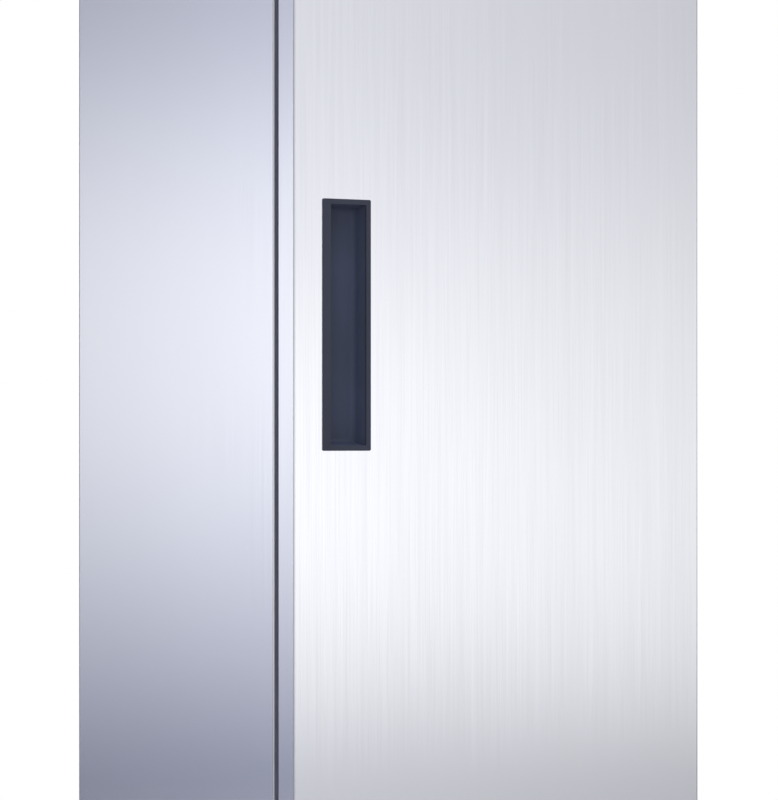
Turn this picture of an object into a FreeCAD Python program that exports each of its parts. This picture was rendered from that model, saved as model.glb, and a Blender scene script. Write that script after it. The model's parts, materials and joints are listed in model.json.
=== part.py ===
import FreeCAD
import Part
import math
import os

# Upright one-section freezer with its machinery on top, on four swivel casters.
# Millimetres. The origin is the centre of the footprint on the floor, +Z is up,
# the door faces -Y and its hinges are on the +X side.

Vector = FreeCAD.Vector
x_axis = Vector(1, 0, 0)
y_axis = Vector(0, 1, 0)
z_axis = Vector(0, 0, 1)

# Cabinet
cabinet_width = 686.0
cabinet_depth = 744.0
overall_height = 2083.0
bay_height = 283.0          # machinery bay above the deck
side_wall = 60.0            # outside of the cabinet to the inside of the liner
back_wall = 60.0
floor_wall = 60.0
ceiling_wall = 90.0
sheet = 1.0                 # outer steel sheet
liner_sheet = 0.8
bend_radius = 2.5           # outside of a sheet bend
back_return = 25.0          # inward flange at the rear of a side panel
breaker_thickness = 3.0     # plastic strip between the steel front and the liner
header_upstand = 30.0       # steel front above the deck
header_foot = 30.0

# Base rails and casters
rail_height = 26.0
rail_depth = 110.0
rail_sheet = 2.0
caster_height = 157.0       # floor to the underside of the rails
caster_inset = 65.0         # side of the cabinet to the swivel axis
wheel_diameter = 125.0
wheel_width = 30.0
wheel_sides = 36            # flats that stand for the round tread
wheel_trail = 36.0          # swivel axis to axle
caster_plate_length = 92.0
caster_plate_width = 84.0
caster_plate_thickness = 4.0
race_radius = 25.0
race_height = 11.0
swivel_gap = 0.3
kingpin_radius = 6.0
kingpin_nut = 10.0           # half across flats
fork_sheet = 3.5
fork_crown_length = 54.0
fork_side_gap = 2.0         # wheel to fork leg
axle_radius = 4.0
running_gap = 0.05          # radial clearance of a pin in its bore
fork_foot = 22.0
kingpin_nut_height = 7.0
pedal_ahead = 30.0          # axle to the pedal's pin, forwards and upwards
pedal_above = 64.0
pedal_length = 42.0
pedal_pin_radius = 3.0
plate_bolt_inset = 9.0
bolt_head_width = 11.0      # across flats
bolt_head_height = 4.5

# Door
door_thickness = 49.5
door_side_inset = 0.0
gasket_gap = 18.5           # back of the door to the front of the cabinet
door_bottom_gap = 7.0       # underside of the cabinet to the underside of the door
door_top_drop = 24.0        # deck to the top of the door
door_bend = 3.0
gasket_inset = 20.0
gasket_base = 24.0
gasket_neck = 10.0
gasket_head = 16.0
gasket_base_height = 3.0
gasket_head_height = 6.5
gasket_clearance = 0.3
inner_panel_thickness = 2.0
plug_height = 12.0
plug_inset = 52.0
plug_draft = 8.0

# Recessed handle, black moulding near the free edge of the door
handle_width = 77.0
handle_height = 362.0
handle_from_edge = 46.0
handle_centre_z = 1160.0
handle_proud = 2.0
handle_lip = 12.5           # border on the finger side
handle_border = 7.5         # border on the other three sides
handle_depth = 30.0
handle_wall = 2.0
handle_undercut = 8.0
handle_corner = 2.0
handle_floor_round = 6.0
handle_seat = 4.0           # flange overlap on the door pan
fit_gap = 0.3

# Door hinge
pivot_inset = 16.0          # right edge of the door to the pivot
pivot_depth = 16.0          # back of the door to the pivot
hinge_plate = 5.0
hinge_gap = 1.5             # door to hinge plate
hinge_leaf = 4.0
hinge_leaf_width = 80.0
hinge_leaf_height = 40.0
hinge_pin_radius = 5.0
hinge_pin_reach = 16.0
hinge_pin_margin = 12.0     # pin axis to the front edge of its plate
hinge_leaf_inset = 5.0      # side of the cabinet to the leaf
hinge_bolt_inset = 12.0     # edges of the leaf to the bolts
bushing_half = 9.0
bushing_flange_half = 12.0
bushing_flange = 1.2
bushing_length = 18.0
cartridge_length = 70.0

# Front grille over the machinery bay
grille_gap = 10.0           # top of the door to the grille
grille_setback = 5.0        # front of the door to the front of the grille
grille_top_gap = 4.0
grille_sheet = 1.2
grille_bend = 3.0
grille_back_gap = 4.0       # back edge of the grille to the front of the cabinet
grille_pivot = 6.0          # back and top edges to the hinge axis
grille_pin_radius = 2.5
grille_lower_return = 20.0
louver_count = 9
louver_pitch = 20.0
louver_width = 560.0
louver_slot = 9.0
louver_hood = 8.0
louver_top_margin = 32.0
ear_sheet = 2.0
ear_radius = 4.3
ear_drop = 22.0
top_rail_height = 34.0
top_rail_depth = 24.0
top_rail_sheet = 1.5

# Controller on the grille
bezel_width = 190.0
bezel_height = 48.0
bezel_depth = 16.0
bezel_lip = 4.0
bezel_proud = 1.6
bezel_from_right = 34.0
bezel_from_bottom = 20.0
window_width = 66.0
window_height = 26.0
window_thickness = 2.0
key_width = 14.0
key_height = 11.0
key_pitch = 20.0
key_proud = 1.2
key_travel = 0.8
key_depth = 6.0
key_gap = 0.25
rocker_width = 13.0
rocker_height = 19.0
rocker_proud = 1.6
rocker_depth = 7.0
rocker_tilt = 9.0

# Shelving
pilaster_width = 18.0
pilaster_depth = 10.0
pilaster_sheet = 1.5
pilaster_margin = 70.0      # floor and ceiling to the pilaster ends
pilaster_slot_width = 8.0
pilaster_slot_height = 14.0
pilaster_slot_pitch = 107.0
front_pilaster = 70.0       # front of the cabinet to the front pilaster
rear_pilaster = 70.0        # back of the liner to the rear pilaster
shelf_side_gap = 3.0
shelf_front_gap = 30.0
shelf_back_gap = 55.0
shelf_bar = 7.0
shelf_wire_radius = 2.0
shelf_wire_pitch = 26.0
shelf_cross_bars = 3
shelf_heights = [545.0, 865.0, 1185.0]
clip_reach = 9.0
clip_thickness = 3.0
clip_height = 16.0
clip_tongue = 4.0           # height of the part that stands in the slot
clip_play = 0.5

# Evaporator in the roof of the cold space
evaporator_width = 460.0
evaporator_depth = 270.0
evaporator_height = 170.0
evaporator_sheet = 1.2
evaporator_back_gap = 12.0
fan_opening_radius = 76.0
opening_sides = 32          # flats that stand for a round fan opening
evaporator_fan_radius = 70.0
coil_depth = 90.0
coil_height = 130.0
coil_side_gap = 30.0
guard_ring = 4.0
guard_bar = 3.0
guard_bars = 9
lamp_length = 300.0
lamp_width = 26.0
lamp_height = 12.0

# Condensing unit
unit_length = 560.0         # front to back
unit_side_gap = 43.0        # side of the cabinet to the tray
unit_sheet = 2.0
unit_lip = 12.0
unit_front_gap = 40.0
condenser_width = 380.0
condenser_height = 222.0
condenser_depth = 60.0
condenser_left_gap = 20.0
condenser_fins = 7
fin_thickness = 2.0
shroud_depth = 40.0
shroud_sheet = 1.2
condenser_fan_radius = 98.0
fan_tip_gap = 5.0
fan_hub_radius = 22.0
fan_hub_sides = 16
fan_hub_length = 18.0
fan_blade_count = 4
fan_blade_thickness = 1.6
fan_pitch = 28.0            # degrees
motor_radius = 30.0
motor_sides = 16
motor_length = 62.0
motor_shaft_radius = 3.0
motor_arm_width = 14.0
motor_arm_thickness = 2.0
compressor_radius = 72.0
compressor_height = 175.0
compressor_shoulder = 10.0
compressor_foot = 28.0
grommet_height = 10.0
grommet_radius = 9.0
drier_radius = 16.0
drier_length = 95.0
drier_sides = 16
drier_beside = 26.0         # side of the condenser to the drier's axis
drier_above = 60.0          # tray to the underside of the drier
drier_drop = 42.0           # underside of the drier to the liquid line
tube_radius = 4.8
suction_radius = 6.3
line_bend = 12.0
line_offset = 12.0          # discharge line to the side of the condenser
suction_behind = 18.0       # compressor shell to the suction line
suction_drop_x = 90.0       # where the suction line goes down through the deck
bend_steps = 3              # straight steps in each bend
box_width = 130.0
box_depth = 150.0
box_height = 120.0
box_side_gap = 6.0          # end of the tray to the box
inlet_width = 48.0
inlet_height = 28.0
inlet_depth = 26.0
inlet_side_gap = 30.0       # end of the tray to the inlet

# Places worked out from the sizes above
half_width = cabinet_width / 2
back_y = (cabinet_depth + gasket_gap + door_thickness + handle_proud) / 2
front_y = back_y - cabinet_depth
door_back_y = front_y - gasket_gap
door_front_y = door_back_y - door_thickness
skin_back_y = back_y - sheet                # inside of the back panel
cabinet_bottom = caster_height + rail_height
deck_top = overall_height - bay_height
liner_half = half_width - side_wall
liner_back = back_y - back_wall
liner_floor = cabinet_bottom + floor_wall
liner_ceiling = deck_top - ceiling_wall
door_half = half_width - door_side_inset
door_bottom = cabinet_bottom + door_bottom_gap
door_top = deck_top - door_top_drop
land = gasket_inset + gasket_base + 1.0     # steel that the gasket closes on
land_half = door_half - land
land_bottom = door_bottom + land
land_top = door_top - land
pivot_x = door_half - pivot_inset
pivot_y = door_back_y - pivot_depth
hinge_leaf_x1 = half_width - hinge_leaf_inset
hinge_leaf_x0 = hinge_leaf_x1 - hinge_leaf_width
handle_x0 = -door_half + handle_from_edge
handle_x1 = handle_x0 + handle_width
handle_z0 = handle_centre_z - handle_height / 2
handle_z1 = handle_centre_z + handle_height / 2
mouth_x0 = handle_x0 + handle_lip
mouth_x1 = handle_x1 - handle_border
mouth_z0 = handle_z0 + handle_border
mouth_z1 = handle_z1 - handle_border
pocket_x0 = mouth_x0 - handle_undercut
pocket_back = door_front_y + handle_depth
lip_back = door_front_y + handle_wall


def block(x0, x1, y0, y1, z0, z1):
    return Part.makeBox(x1 - x0, y1 - y0, z1 - z0, Vector(x0, y0, z0))


def rod(radius, start, end):
    start = Vector(*start)
    end = Vector(*end)
    return Part.makeCylinder(radius, (end - start).Length, start, end - start)


def prism(points, direction):
    """A closed outline of (x, y, z) points pushed along a vector."""
    corners = [Vector(*p) for p in points]
    outline = Part.makePolygon(corners + corners[:1])
    return Part.Face(outline).extrude(Vector(*direction))


def prism_x(points, x0, x1):
    return prism([(x0, y, z) for y, z in points], (x1 - x0, 0, 0))


def prism_y(points, y0, y1):
    return prism([(x, y0, z) for x, z in points], (0, y1 - y0, 0))


def prism_z(points, z0, z1):
    return prism([(x, y, z0) for x, y in points], (0, 0, z1 - z0))


def polygon(radius, sides, centre=(0.0, 0.0)):
    """Corners of a regular polygon, by the radius to its flats, a flat at the bottom and top."""
    corner = radius / math.cos(math.pi / sides)
    angles = [math.pi * (2 * i + 1) / sides for i in range(sides)]
    return [(centre[0] + corner * math.sin(a), centre[1] + corner * math.cos(a)) for a in angles]


def round_edges(shape, radius, wanted):
    """Fillet the edges whose middle point passes the test."""
    edges = [e for e in shape.Edges if wanted(e.CenterOfMass)]
    return shape.makeFillet(radius, edges)


def near(a, b):
    return abs(a - b) < 1e-3


def mirrored(shape):
    return shape.mirror(Vector(0, 0, 0), x_axis)


def frame_ring(half, inset, width, bottom, top, y0, y1):
    """A rectangular ring round the door opening, inset from the door's edges."""
    outer = block(-half + inset, half - inset, y0, y1, bottom + inset, top - inset)
    inset += width
    inner = block(-half + inset, half - inset, y0 - 1, y1 + 1, bottom + inset, top - inset)
    return outer.cut(inner)


def hex_head(centre, direction):
    """A hexagon bolt head seated at a point, standing along a direction."""
    points = [(x, y, 0) for x, y in polygon(bolt_head_width / 2, 6)]
    head = prism(points, (0, 0, bolt_head_height))
    turn = FreeCAD.Rotation(z_axis, Vector(*direction))
    head.Placement = FreeCAD.Placement(Vector(*centre), turn)
    return head


# ---- Cabinet shell

def side_panel():
    """The right side: one bent sheet with a front flange for the gasket and a rear flange."""
    inside = half_width - sheet
    middle_y = (front_y + skin_back_y) / 2
    outer = block(land_half, half_width, front_y, skin_back_y, caster_height, overall_height)
    outer = round_edges(outer, bend_radius, lambda c: near(c.x, half_width) and near(
        c.z, (caster_height + overall_height) / 2))
    hollow = block(land_half - 1, inside, front_y + sheet, skin_back_y - sheet,
                   caster_height - 1, overall_height + 1)
    hollow = round_edges(hollow, bend_radius - sheet, lambda c: near(c.x, inside) and near(
        c.z, (caster_height + overall_height) / 2))
    shortened = block(land_half - 1, half_width - back_return, middle_y, skin_back_y + 1,
                      caster_height - 1, overall_height + 1)
    return outer.cut(hollow).cut(shortened)


def back_panel():
    return block(-half_width, half_width, skin_back_y, back_y, caster_height,
                 deck_top + header_upstand)


def deck_panel():
    reach = half_width - bend_radius
    return block(-reach, reach, front_y + bend_radius, skin_back_y - bend_radius,
                 deck_top - sheet, deck_top)


def floor_panel():
    reach = half_width - bend_radius
    return block(-reach, reach, front_y + bend_radius, skin_back_y - bend_radius,
                 cabinet_bottom, cabinet_bottom + sheet)


def cabinet_foam():
    inside = half_width - sheet
    foam = block(-inside, inside, front_y + sheet, skin_back_y - sheet,
                 cabinet_bottom + sheet, deck_top - sheet)
    middle = (cabinet_bottom + deck_top) / 2
    foam = foam.makeChamfer(bend_radius, [e for e in foam.Edges if near(e.CenterOfMass.z, middle)])
    reach = liner_half + liner_sheet
    cavity = block(-reach, reach, front_y - 1, liner_back + liner_sheet,
                   liner_floor - liner_sheet, liner_ceiling + liner_sheet)
    rebate = block(-land_half, land_half, front_y - 1, front_y + breaker_thickness,
                   land_bottom, land_top)
    return foam.cut(cavity).cut(rebate)


def inner_liner():
    start = front_y + breaker_thickness
    reach = liner_half + liner_sheet
    outer = block(-reach, reach, start, liner_back + liner_sheet,
                  liner_floor - liner_sheet, liner_ceiling + liner_sheet)
    hollow = block(-liner_half, liner_half, start - 1, liner_back, liner_floor, liner_ceiling)
    return outer.cut(hollow)


def face_frame():
    """Steel header and sill between the flanges of the side panels."""
    header = block(-land_half, land_half, front_y, front_y + sheet, land_top,
                   deck_top + header_upstand)
    foot = block(-land_half, land_half, front_y + sheet, front_y + header_foot,
                 deck_top, deck_top + sheet)
    sill = block(-land_half, land_half, front_y, front_y + sheet, cabinet_bottom, land_bottom)
    return [header.fuse(foot).removeSplitter(), sill]


def breaker_strips():
    """Plastic strips that cover the edge between the steel front and the liner."""
    y0 = front_y
    y1 = front_y + breaker_thickness
    strips = []
    for side in (-1, 1):
        x0, x1 = sorted((side * liner_half, side * land_half))
        strips.append(block(x0, x1, y0, y1, land_bottom, land_top))
    for z0, z1 in ((land_bottom, liner_floor), (liner_ceiling, land_top)):
        strips.append(block(-liner_half, liner_half, y0, y1, z0, z1))
    return strips


def base_rails():
    """Two channels across the bottom, open upwards, with the casters bolted below."""
    reach = half_width - bend_radius
    rails = []
    for y0 in (front_y + sheet, skin_back_y - sheet - rail_depth):
        outer = block(-reach, reach, y0, y0 + rail_depth, caster_height, cabinet_bottom)
        hollow = block(-reach - 1, reach + 1, y0 + rail_sheet, y0 + rail_depth - rail_sheet,
                       caster_height + rail_sheet, cabinet_bottom + 1)
        rails.append(outer.cut(hollow))
    return rails


# ---- Casters

caster_x = half_width - caster_inset
caster_front_y = front_y + sheet + rail_depth / 2
caster_rear_y = skin_back_y - sheet - rail_depth / 2
caster_places = {
    "front_left": (-caster_x, caster_front_y),
    "front_right": (caster_x, caster_front_y),
    "rear_left": (-caster_x, caster_rear_y),
    "rear_right": (caster_x, caster_rear_y),
}
wheel_radius = wheel_diameter / 2
race_bottom = caster_height - caster_plate_thickness - race_height
crown_top = race_bottom - swivel_gap
crown_bottom = crown_top - fork_sheet
nut_top = crown_bottom - swivel_gap
leg_inside = wheel_width / 2 + fork_side_gap
leg_outside = leg_inside + fork_sheet
pedal_y = -wheel_trail - pedal_ahead          # along Y from the swivel axis
pedal_z = wheel_radius + pedal_above
fork_front = pedal_y - 10.0


def caster_plate(x, y):
    """Mounting plate with its upper race, kingpin and nut."""
    plate = block(x - caster_plate_width / 2, x + caster_plate_width / 2,
                  y - caster_plate_length / 2, y + caster_plate_length / 2,
                  caster_height - caster_plate_thickness, caster_height)
    race = prism_z(polygon(race_radius, 12, (x, y)), race_bottom,
                   caster_height - caster_plate_thickness)
    kingpin = rod(kingpin_radius, (x, y, nut_top), (x, y, race_bottom))
    nut = prism_z(polygon(kingpin_nut, 6, (x, y)), nut_top - kingpin_nut_height, nut_top)
    return plate.multiFuse([race, kingpin, nut])


def caster_fork(x, y, has_pedal):
    """Pressed fork: a crown that turns on the kingpin and two legs down to the axle."""
    half_crown = fork_crown_length / 2
    half_foot = fork_foot / 2
    outline = [
        (half_crown, crown_top), (half_crown, crown_bottom - 10.0),
        (-wheel_trail + half_foot, wheel_radius - half_foot),
        (-wheel_trail + half_foot / 2, wheel_radius - 1.5 * half_foot),
        (-wheel_trail - half_foot / 2, wheel_radius - 1.5 * half_foot),
        (-wheel_trail - half_foot, wheel_radius - 4.0),
        (fork_front, pedal_z - 12.0), (fork_front, pedal_z + 6.0),
        (pedal_y, pedal_z + 10.0), (-half_crown - 8.0, crown_top),
    ]
    outline = [(y + dy, z) for dy, z in outline]
    fork = prism_x(outline, x - leg_outside, x + leg_outside)
    channel = block(x - leg_inside, x + leg_inside, y - 200, y + 200, 0, crown_bottom)
    hole = rod(kingpin_radius + running_gap, (x, y, crown_bottom - 1), (x, y, crown_top + 1))
    axle_y = y - wheel_trail
    axle = rod(axle_radius, (x - leg_inside, axle_y, wheel_radius),
               (x + leg_inside, axle_y, wheel_radius))
    fork = fork.cut(channel).cut(hole).fuse(axle)
    if has_pedal:
        fork = fork.fuse(rod(pedal_pin_radius, (x - leg_inside, y + pedal_y, pedal_z),
                             (x + leg_inside, y + pedal_y, pedal_z)))
    heads = []
    for side in (-1, 1):
        heads.append(hex_head((x + side * leg_outside, axle_y, wheel_radius), (side, 0, 0)))
    return [fork] + heads


def caster_wheel(x, y):
    axle_y = y - wheel_trail
    half = wheel_width / 2
    bore = axle_radius + running_gap
    wheel = prism([(x - half, axle_y + a, wheel_radius + b) for a, b in polygon(
        wheel_radius, wheel_sides)], (wheel_width, 0, 0))
    return wheel.cut(rod(bore, (x - half - 1, axle_y, wheel_radius),
                         (x + half + 1, axle_y, wheel_radius)))


def brake_pedal(x, y):
    """A foot lever between the fork legs, on a cross pin above the wheel, with a tread pad."""
    reach = leg_inside - 0.5
    outline = [
        (5.0, 5.0), (-4.0, 6.5), (-pedal_length + 2.0, 16.0), (-pedal_length, 12.5),
        (-18.0, 3.0), (-18.0, -6.0), (-16.0, -11.4), (-8.0, -7.0), (-5.0, -5.0), (3.0, -5.0),
        (5.0, 0.0),
    ]
    outline = [(y + pedal_y + dy, pedal_z + dz) for dy, dz in outline]
    lever = prism_x(outline, x - reach, x + reach)
    pin = (y + pedal_y, pedal_z)
    bore = rod(pedal_pin_radius + running_gap, (x - reach - 1, *pin), (x + reach + 1, *pin))
    return lever.cut(bore)


# ---- Door

def door_pan():
    """Outer pan: front face and four turned sides, with openings for the handle and bushings."""
    outer = block(-door_half, door_half, door_front_y, door_back_y, door_bottom, door_top)
    outer = round_edges(outer, door_bend, lambda c: near(c.y, door_front_y))
    inside = block(-door_half + sheet, door_half - sheet, door_front_y + sheet, door_back_y + 1,
                   door_bottom + sheet, door_top - sheet)
    inside = round_edges(inside, door_bend - sheet, lambda c: near(c.y, door_front_y + sheet))
    opening = block(pocket_x0 - handle_wall - fit_gap, handle_x1 - handle_seat, door_front_y - 1,
                    door_front_y + sheet + 1, handle_z0 + handle_seat, handle_z1 - handle_seat)
    sockets = [square_post(bushing_half, door_bottom - 1, door_bottom + sheet + 1),
               square_post(bushing_half, door_top - sheet - 1, door_top + 1)]
    return outer.cut(inside).cut(opening).cut(Part.makeCompound(sockets))


def pocket_block(grow, y0, y1, x0):
    return block(x0 - grow, mouth_x1 + grow, y0, y1, mouth_z0 - grow, mouth_z1 + grow)


def handle_recess():
    """Grab pocket in two mouldings: a tub, and a trim frame whose lip covers the finger side."""
    frame = block(handle_x0, handle_x1, door_front_y - handle_proud, door_front_y,
                  handle_z0, handle_z1)
    frame = frame.makeChamfer(handle_proud * 0.4, [
        e for e in frame.Edges if near(e.CenterOfMass.y, door_front_y - handle_proud)])
    lip = block(pocket_x0, mouth_x0, door_front_y, lip_back, mouth_z0, mouth_z1)
    mouth = pocket_block(0.0, door_front_y - handle_proud - 1, lip_back + 1, mouth_x0)
    mouth = round_edges(mouth, handle_corner, lambda c: near(
        c.y, (door_front_y - handle_proud + lip_back) / 2))
    tub = pocket_block(handle_wall, door_front_y, pocket_back + handle_wall, pocket_x0)
    tub = round_edges(tub, handle_floor_round + handle_wall, lambda c: near(
        c.y, pocket_back + handle_wall) and near(c.z, handle_centre_z))
    hollow = pocket_block(0.0, door_front_y - 1, pocket_back, pocket_x0)
    hollow = round_edges(hollow, handle_floor_round, lambda c: near(
        c.y, pocket_back) and near(c.z, handle_centre_z))
    return [frame.fuse(lip).cut(mouth).removeSplitter(), tub.cut(hollow)]


def door_foam():
    foam = block(-door_half + sheet, door_half - sheet, door_front_y + sheet,
                 door_back_y - inner_panel_thickness, door_bottom + sheet, door_top - sheet)
    foam = round_edges(foam, door_bend, lambda c: near(c.y, door_front_y + sheet))
    pocket = pocket_block(handle_wall + fit_gap, door_front_y, pocket_back + handle_wall + fit_gap,
                          pocket_x0)
    seat = bushing_half + fit_gap
    lower = square_post(seat, door_bottom, door_bottom + bushing_length + cartridge_length)
    upper = square_post(seat, door_top - bushing_length, door_top)
    return foam.cut(pocket).cut(Part.makeCompound([lower, upper]))


def door_inner_panel():
    """Inside face of the door, with a tapered plug that fills the gap to the cabinet."""
    reach = door_half - sheet
    bottom = door_bottom + sheet
    top = door_top - sheet
    panel = block(-reach, reach, door_back_y - inner_panel_thickness, door_back_y, bottom, top)
    x = door_half - plug_inset
    z0 = door_bottom + plug_inset
    z1 = door_top - plug_inset
    d = plug_draft
    plug = Part.makeWedge(-x, door_back_y, z0, z0 + d, -x + d,
                          x, door_back_y + plug_height, z1, z1 - d, x - d)
    return panel.fuse(plug).removeSplitter()


def door_gasket():
    """Magnetic seal: flat base on the door, narrow bellows, and a magnet head at the cabinet."""
    depth = gasket_gap - gasket_clearance
    head_start = depth - gasket_head_height
    rings = []
    for width, y0, y1 in (
        (gasket_base, 0.0, gasket_base_height),
        (gasket_neck, gasket_base_height, head_start),
        (gasket_head, head_start, depth),
    ):
        inset = gasket_inset + (gasket_base - width) / 2
        rings.append(frame_ring(door_half, inset, width, door_bottom, door_top,
                                door_back_y + y0, door_back_y + y1))
    return rings[0].fuse(rings[1]).fuse(rings[2]).removeSplitter()


# ---- Door hinge

def hinge_bushings():
    """Square nylon bushings pressed into the bottom and top of the door, round bore."""
    bushings = []
    for z, inward in ((door_bottom, 1), (door_top, -1)):
        body = square_post(bushing_half, z, z + inward * bushing_length)
        flange = square_post(bushing_flange_half, z - inward * bushing_flange, z)
        bore = rod(hinge_pin_radius + running_gap, (pivot_x, pivot_y, z - inward * 5),
                   (pivot_x, pivot_y, z + inward * (bushing_length + 1)))
        bushings.append(body.fuse(flange).cut(bore))
    return bushings


def square_post(half, z0, z1):
    return block(pivot_x - half, pivot_x + half, pivot_y - half, pivot_y + half,
                 min(z0, z1), max(z0, z1))


def hinge_cartridge():
    """Self-closing torsion cartridge, square so that it turns with the door."""
    z = door_bottom + bushing_length
    return square_post(bushing_half, z, z + cartridge_length)


def hinge_bracket(face_z, away):
    """Leaf on the cabinet front, a plate over the pivot and its pin. away is +1 above the door."""
    leaf_end = face_z + away * hinge_leaf_height
    plate_end = face_z + away * hinge_plate
    plate_y = pivot_y - hinge_pin_margin
    leaf = block(hinge_leaf_x0, hinge_leaf_x1, front_y - hinge_leaf, front_y,
                 min(face_z, leaf_end), max(face_z, leaf_end))
    plate = prism_z([(hinge_leaf_x0, front_y - hinge_leaf), (pivot_x - hinge_pin_margin, plate_y),
                     (pivot_x + hinge_pin_margin / 2, plate_y),
                     (hinge_leaf_x1, plate_y + hinge_pin_margin / 2),
                     (hinge_leaf_x1, front_y - hinge_leaf)],
                    min(face_z, plate_end), max(face_z, plate_end))
    pin = rod(hinge_pin_radius, (pivot_x, pivot_y, face_z),
              (pivot_x, pivot_y, face_z - away * (hinge_gap + hinge_pin_reach)))
    return leaf.fuse(plate).fuse(pin).removeSplitter()


def top_hinge_bracket():
    return hinge_bracket(door_top + hinge_gap, 1)


def bottom_hinge_bracket():
    return hinge_bracket(door_bottom - hinge_gap, -1)


def mounting_bolts():
    """Hexagon heads: three on each hinge leaf and four under each caster plate."""
    heads = []
    for face_z, away in ((door_top + hinge_gap, 1), (door_bottom - hinge_gap, -1)):
        for x in (hinge_leaf_x0 + hinge_bolt_inset, (hinge_leaf_x0 + hinge_leaf_x1) / 2,
                  hinge_leaf_x1 - hinge_bolt_inset):
            z = face_z + away * (hinge_leaf_height - hinge_bolt_inset)
            heads.append(hex_head((x, front_y - hinge_leaf, z), (0, -1, 0)))
    reach_x = caster_plate_width / 2 - plate_bolt_inset
    reach_y = caster_plate_length / 2 - plate_bolt_inset
    z = caster_height - caster_plate_thickness
    for x, y in caster_places.values():
        for dx in (-reach_x, reach_x):
            for dy in (-reach_y, reach_y):
                heads.append(hex_head((x + dx, y + dy, z), (0, 0, -1)))
    return heads


# ---- Shelving

pilaster_places = [front_y + front_pilaster, liner_back - rear_pilaster]
shelf_half = liner_half - pilaster_depth - shelf_side_gap
shelf_y0 = front_y + shelf_front_gap
shelf_y1 = liner_back - shelf_back_gap
shelf_drop = shelf_bar + 2 * shelf_wire_radius


def shelf_pilasters():
    """Four slotted channels on the side walls of the liner."""
    z0 = liner_floor + pilaster_margin
    z1 = liner_ceiling - pilaster_margin
    pilasters = []
    for y in pilaster_places:
        x1 = liner_half
        x0 = liner_half - pilaster_depth
        y0 = y - pilaster_width / 2
        y1 = y + pilaster_width / 2
        channel = block(x0, x1, y0, y1, z0, z1).cut(
            block(x0 + pilaster_sheet, x1 + 1, y0 + pilaster_sheet, y1 - pilaster_sheet,
                  z0 - 1, z1 + 1))
        count = int((z1 - z0 - pilaster_slot_pitch / 2) / pilaster_slot_pitch) + 1
        slots = []
        for i in range(count):
            z = slot_height(i)
            slots.append(block(x0 - 1, x0 + pilaster_sheet + 1, y - pilaster_slot_width / 2,
                               y + pilaster_slot_width / 2, z, z + pilaster_slot_height))
        channel = channel.cut(Part.makeCompound(slots))
        pilasters += [channel, mirrored(channel)]
    return pilasters


def slot_height(index):
    return liner_floor + pilaster_margin + pilaster_slot_pitch * (index + 0.5)


def shelf_top(height):
    """Shelves sit on clips in the nearest slot."""
    index = round((height - slot_height(0)) / pilaster_slot_pitch)
    return slot_height(index) + pilaster_slot_height + shelf_drop


def shelf_clips():
    """Hooked clips, two on each side of each shelf."""
    clips = []
    for height in shelf_heights:
        base = shelf_top(height) - shelf_drop
        for y in pilaster_places:
            x0 = liner_half - pilaster_depth
            inside = x0 + pilaster_sheet
            outline = [
                (x0 - clip_reach, base), (inside, base), (inside, base - clip_tongue),
                (x0, base - clip_tongue),
                (x0, base - clip_height), (x0 - clip_thickness, base - clip_height),
            ]
            reach = pilaster_slot_width / 2 - clip_play
            clip = prism_y(outline, y - reach, y + reach)
            clips += [clip, mirrored(clip)]
    return clips


def wire_shelf(height):
    """Welded shelf: square bars below, six-sided deck wires front to back on top."""
    top = shelf_top(height)
    frame_top = top - 2 * shelf_wire_radius
    frame_bottom = frame_top - shelf_bar
    bars = [block(x0, x0 + shelf_bar, shelf_y0, shelf_y1, frame_bottom, frame_top)
            for x0 in (-shelf_half, shelf_half - shelf_bar)]
    reach = shelf_half - shelf_bar
    for i in range(shelf_cross_bars + 2):
        y0 = shelf_y0 + (shelf_y1 - shelf_y0 - shelf_bar) * i / (shelf_cross_bars + 1)
        bars.append(block(-reach, reach, y0, y0 + shelf_bar, frame_bottom, frame_top))
    count = int((2 * reach - shelf_wire_pitch / 2) / shelf_wire_pitch) + 1
    first = -(count - 1) * shelf_wire_pitch / 2
    wires = []
    for i in range(count):
        section = polygon(shelf_wire_radius, 6, (first + i * shelf_wire_pitch,
                                                 top - shelf_wire_radius))
        wires.append(prism_y(section, shelf_y0, shelf_y1))
    return bars + wires


# ---- Fans, shared by the evaporator and the condenser

def fan_blade(centre, tip_radius):
    """Hub and pitched blades on an axis along Y. centre is the front face of the hub."""
    hub = prism_z(polygon(fan_hub_radius, fan_hub_sides), 0, fan_hub_length)
    bore = rod(motor_shaft_radius + running_gap, (0, 0, -1), (0, 0, fan_hub_length + 1))
    blades = []
    root = fan_hub_radius - 2.0
    half_root = 0.42 * fan_hub_radius
    lead = 0.38 * tip_radius
    trail = 0.30 * tip_radius
    for i in range(fan_blade_count):
        tip_lead = Vector(math.sqrt(tip_radius ** 2 - lead ** 2), lead, 0)
        tip_trail = Vector(math.sqrt(tip_radius ** 2 - trail ** 2), -trail, 0)
        outline = Part.Wire([
            Part.LineSegment(Vector(root, -half_root, 0), Vector(root, half_root, 0)).toShape(),
            Part.LineSegment(Vector(root, half_root, 0), tip_lead).toShape(),
            Part.Arc(tip_lead, Vector(tip_radius, 0, 0), tip_trail).toShape(),
            Part.LineSegment(tip_trail, Vector(root, -half_root, 0)).toShape(),
        ])
        blade = Part.Face(outline).extrude(Vector(0, 0, fan_blade_thickness))
        blade.translate(Vector(0, 0, -fan_blade_thickness / 2))
        blade.rotate(Vector(0, 0, 0), x_axis, fan_pitch)
        blade.translate(Vector(0, 0, fan_hub_length / 2))
        blade.rotate(Vector(0, 0, 0), z_axis, 360.0 * i / fan_blade_count)
        blades.append(blade)
    fan = hub.multiFuse(blades)
    fan = fan.cut(bore)
    fan.rotate(Vector(0, 0, 0), x_axis, -90)
    fan.translate(Vector(*centre))
    return fan


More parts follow.
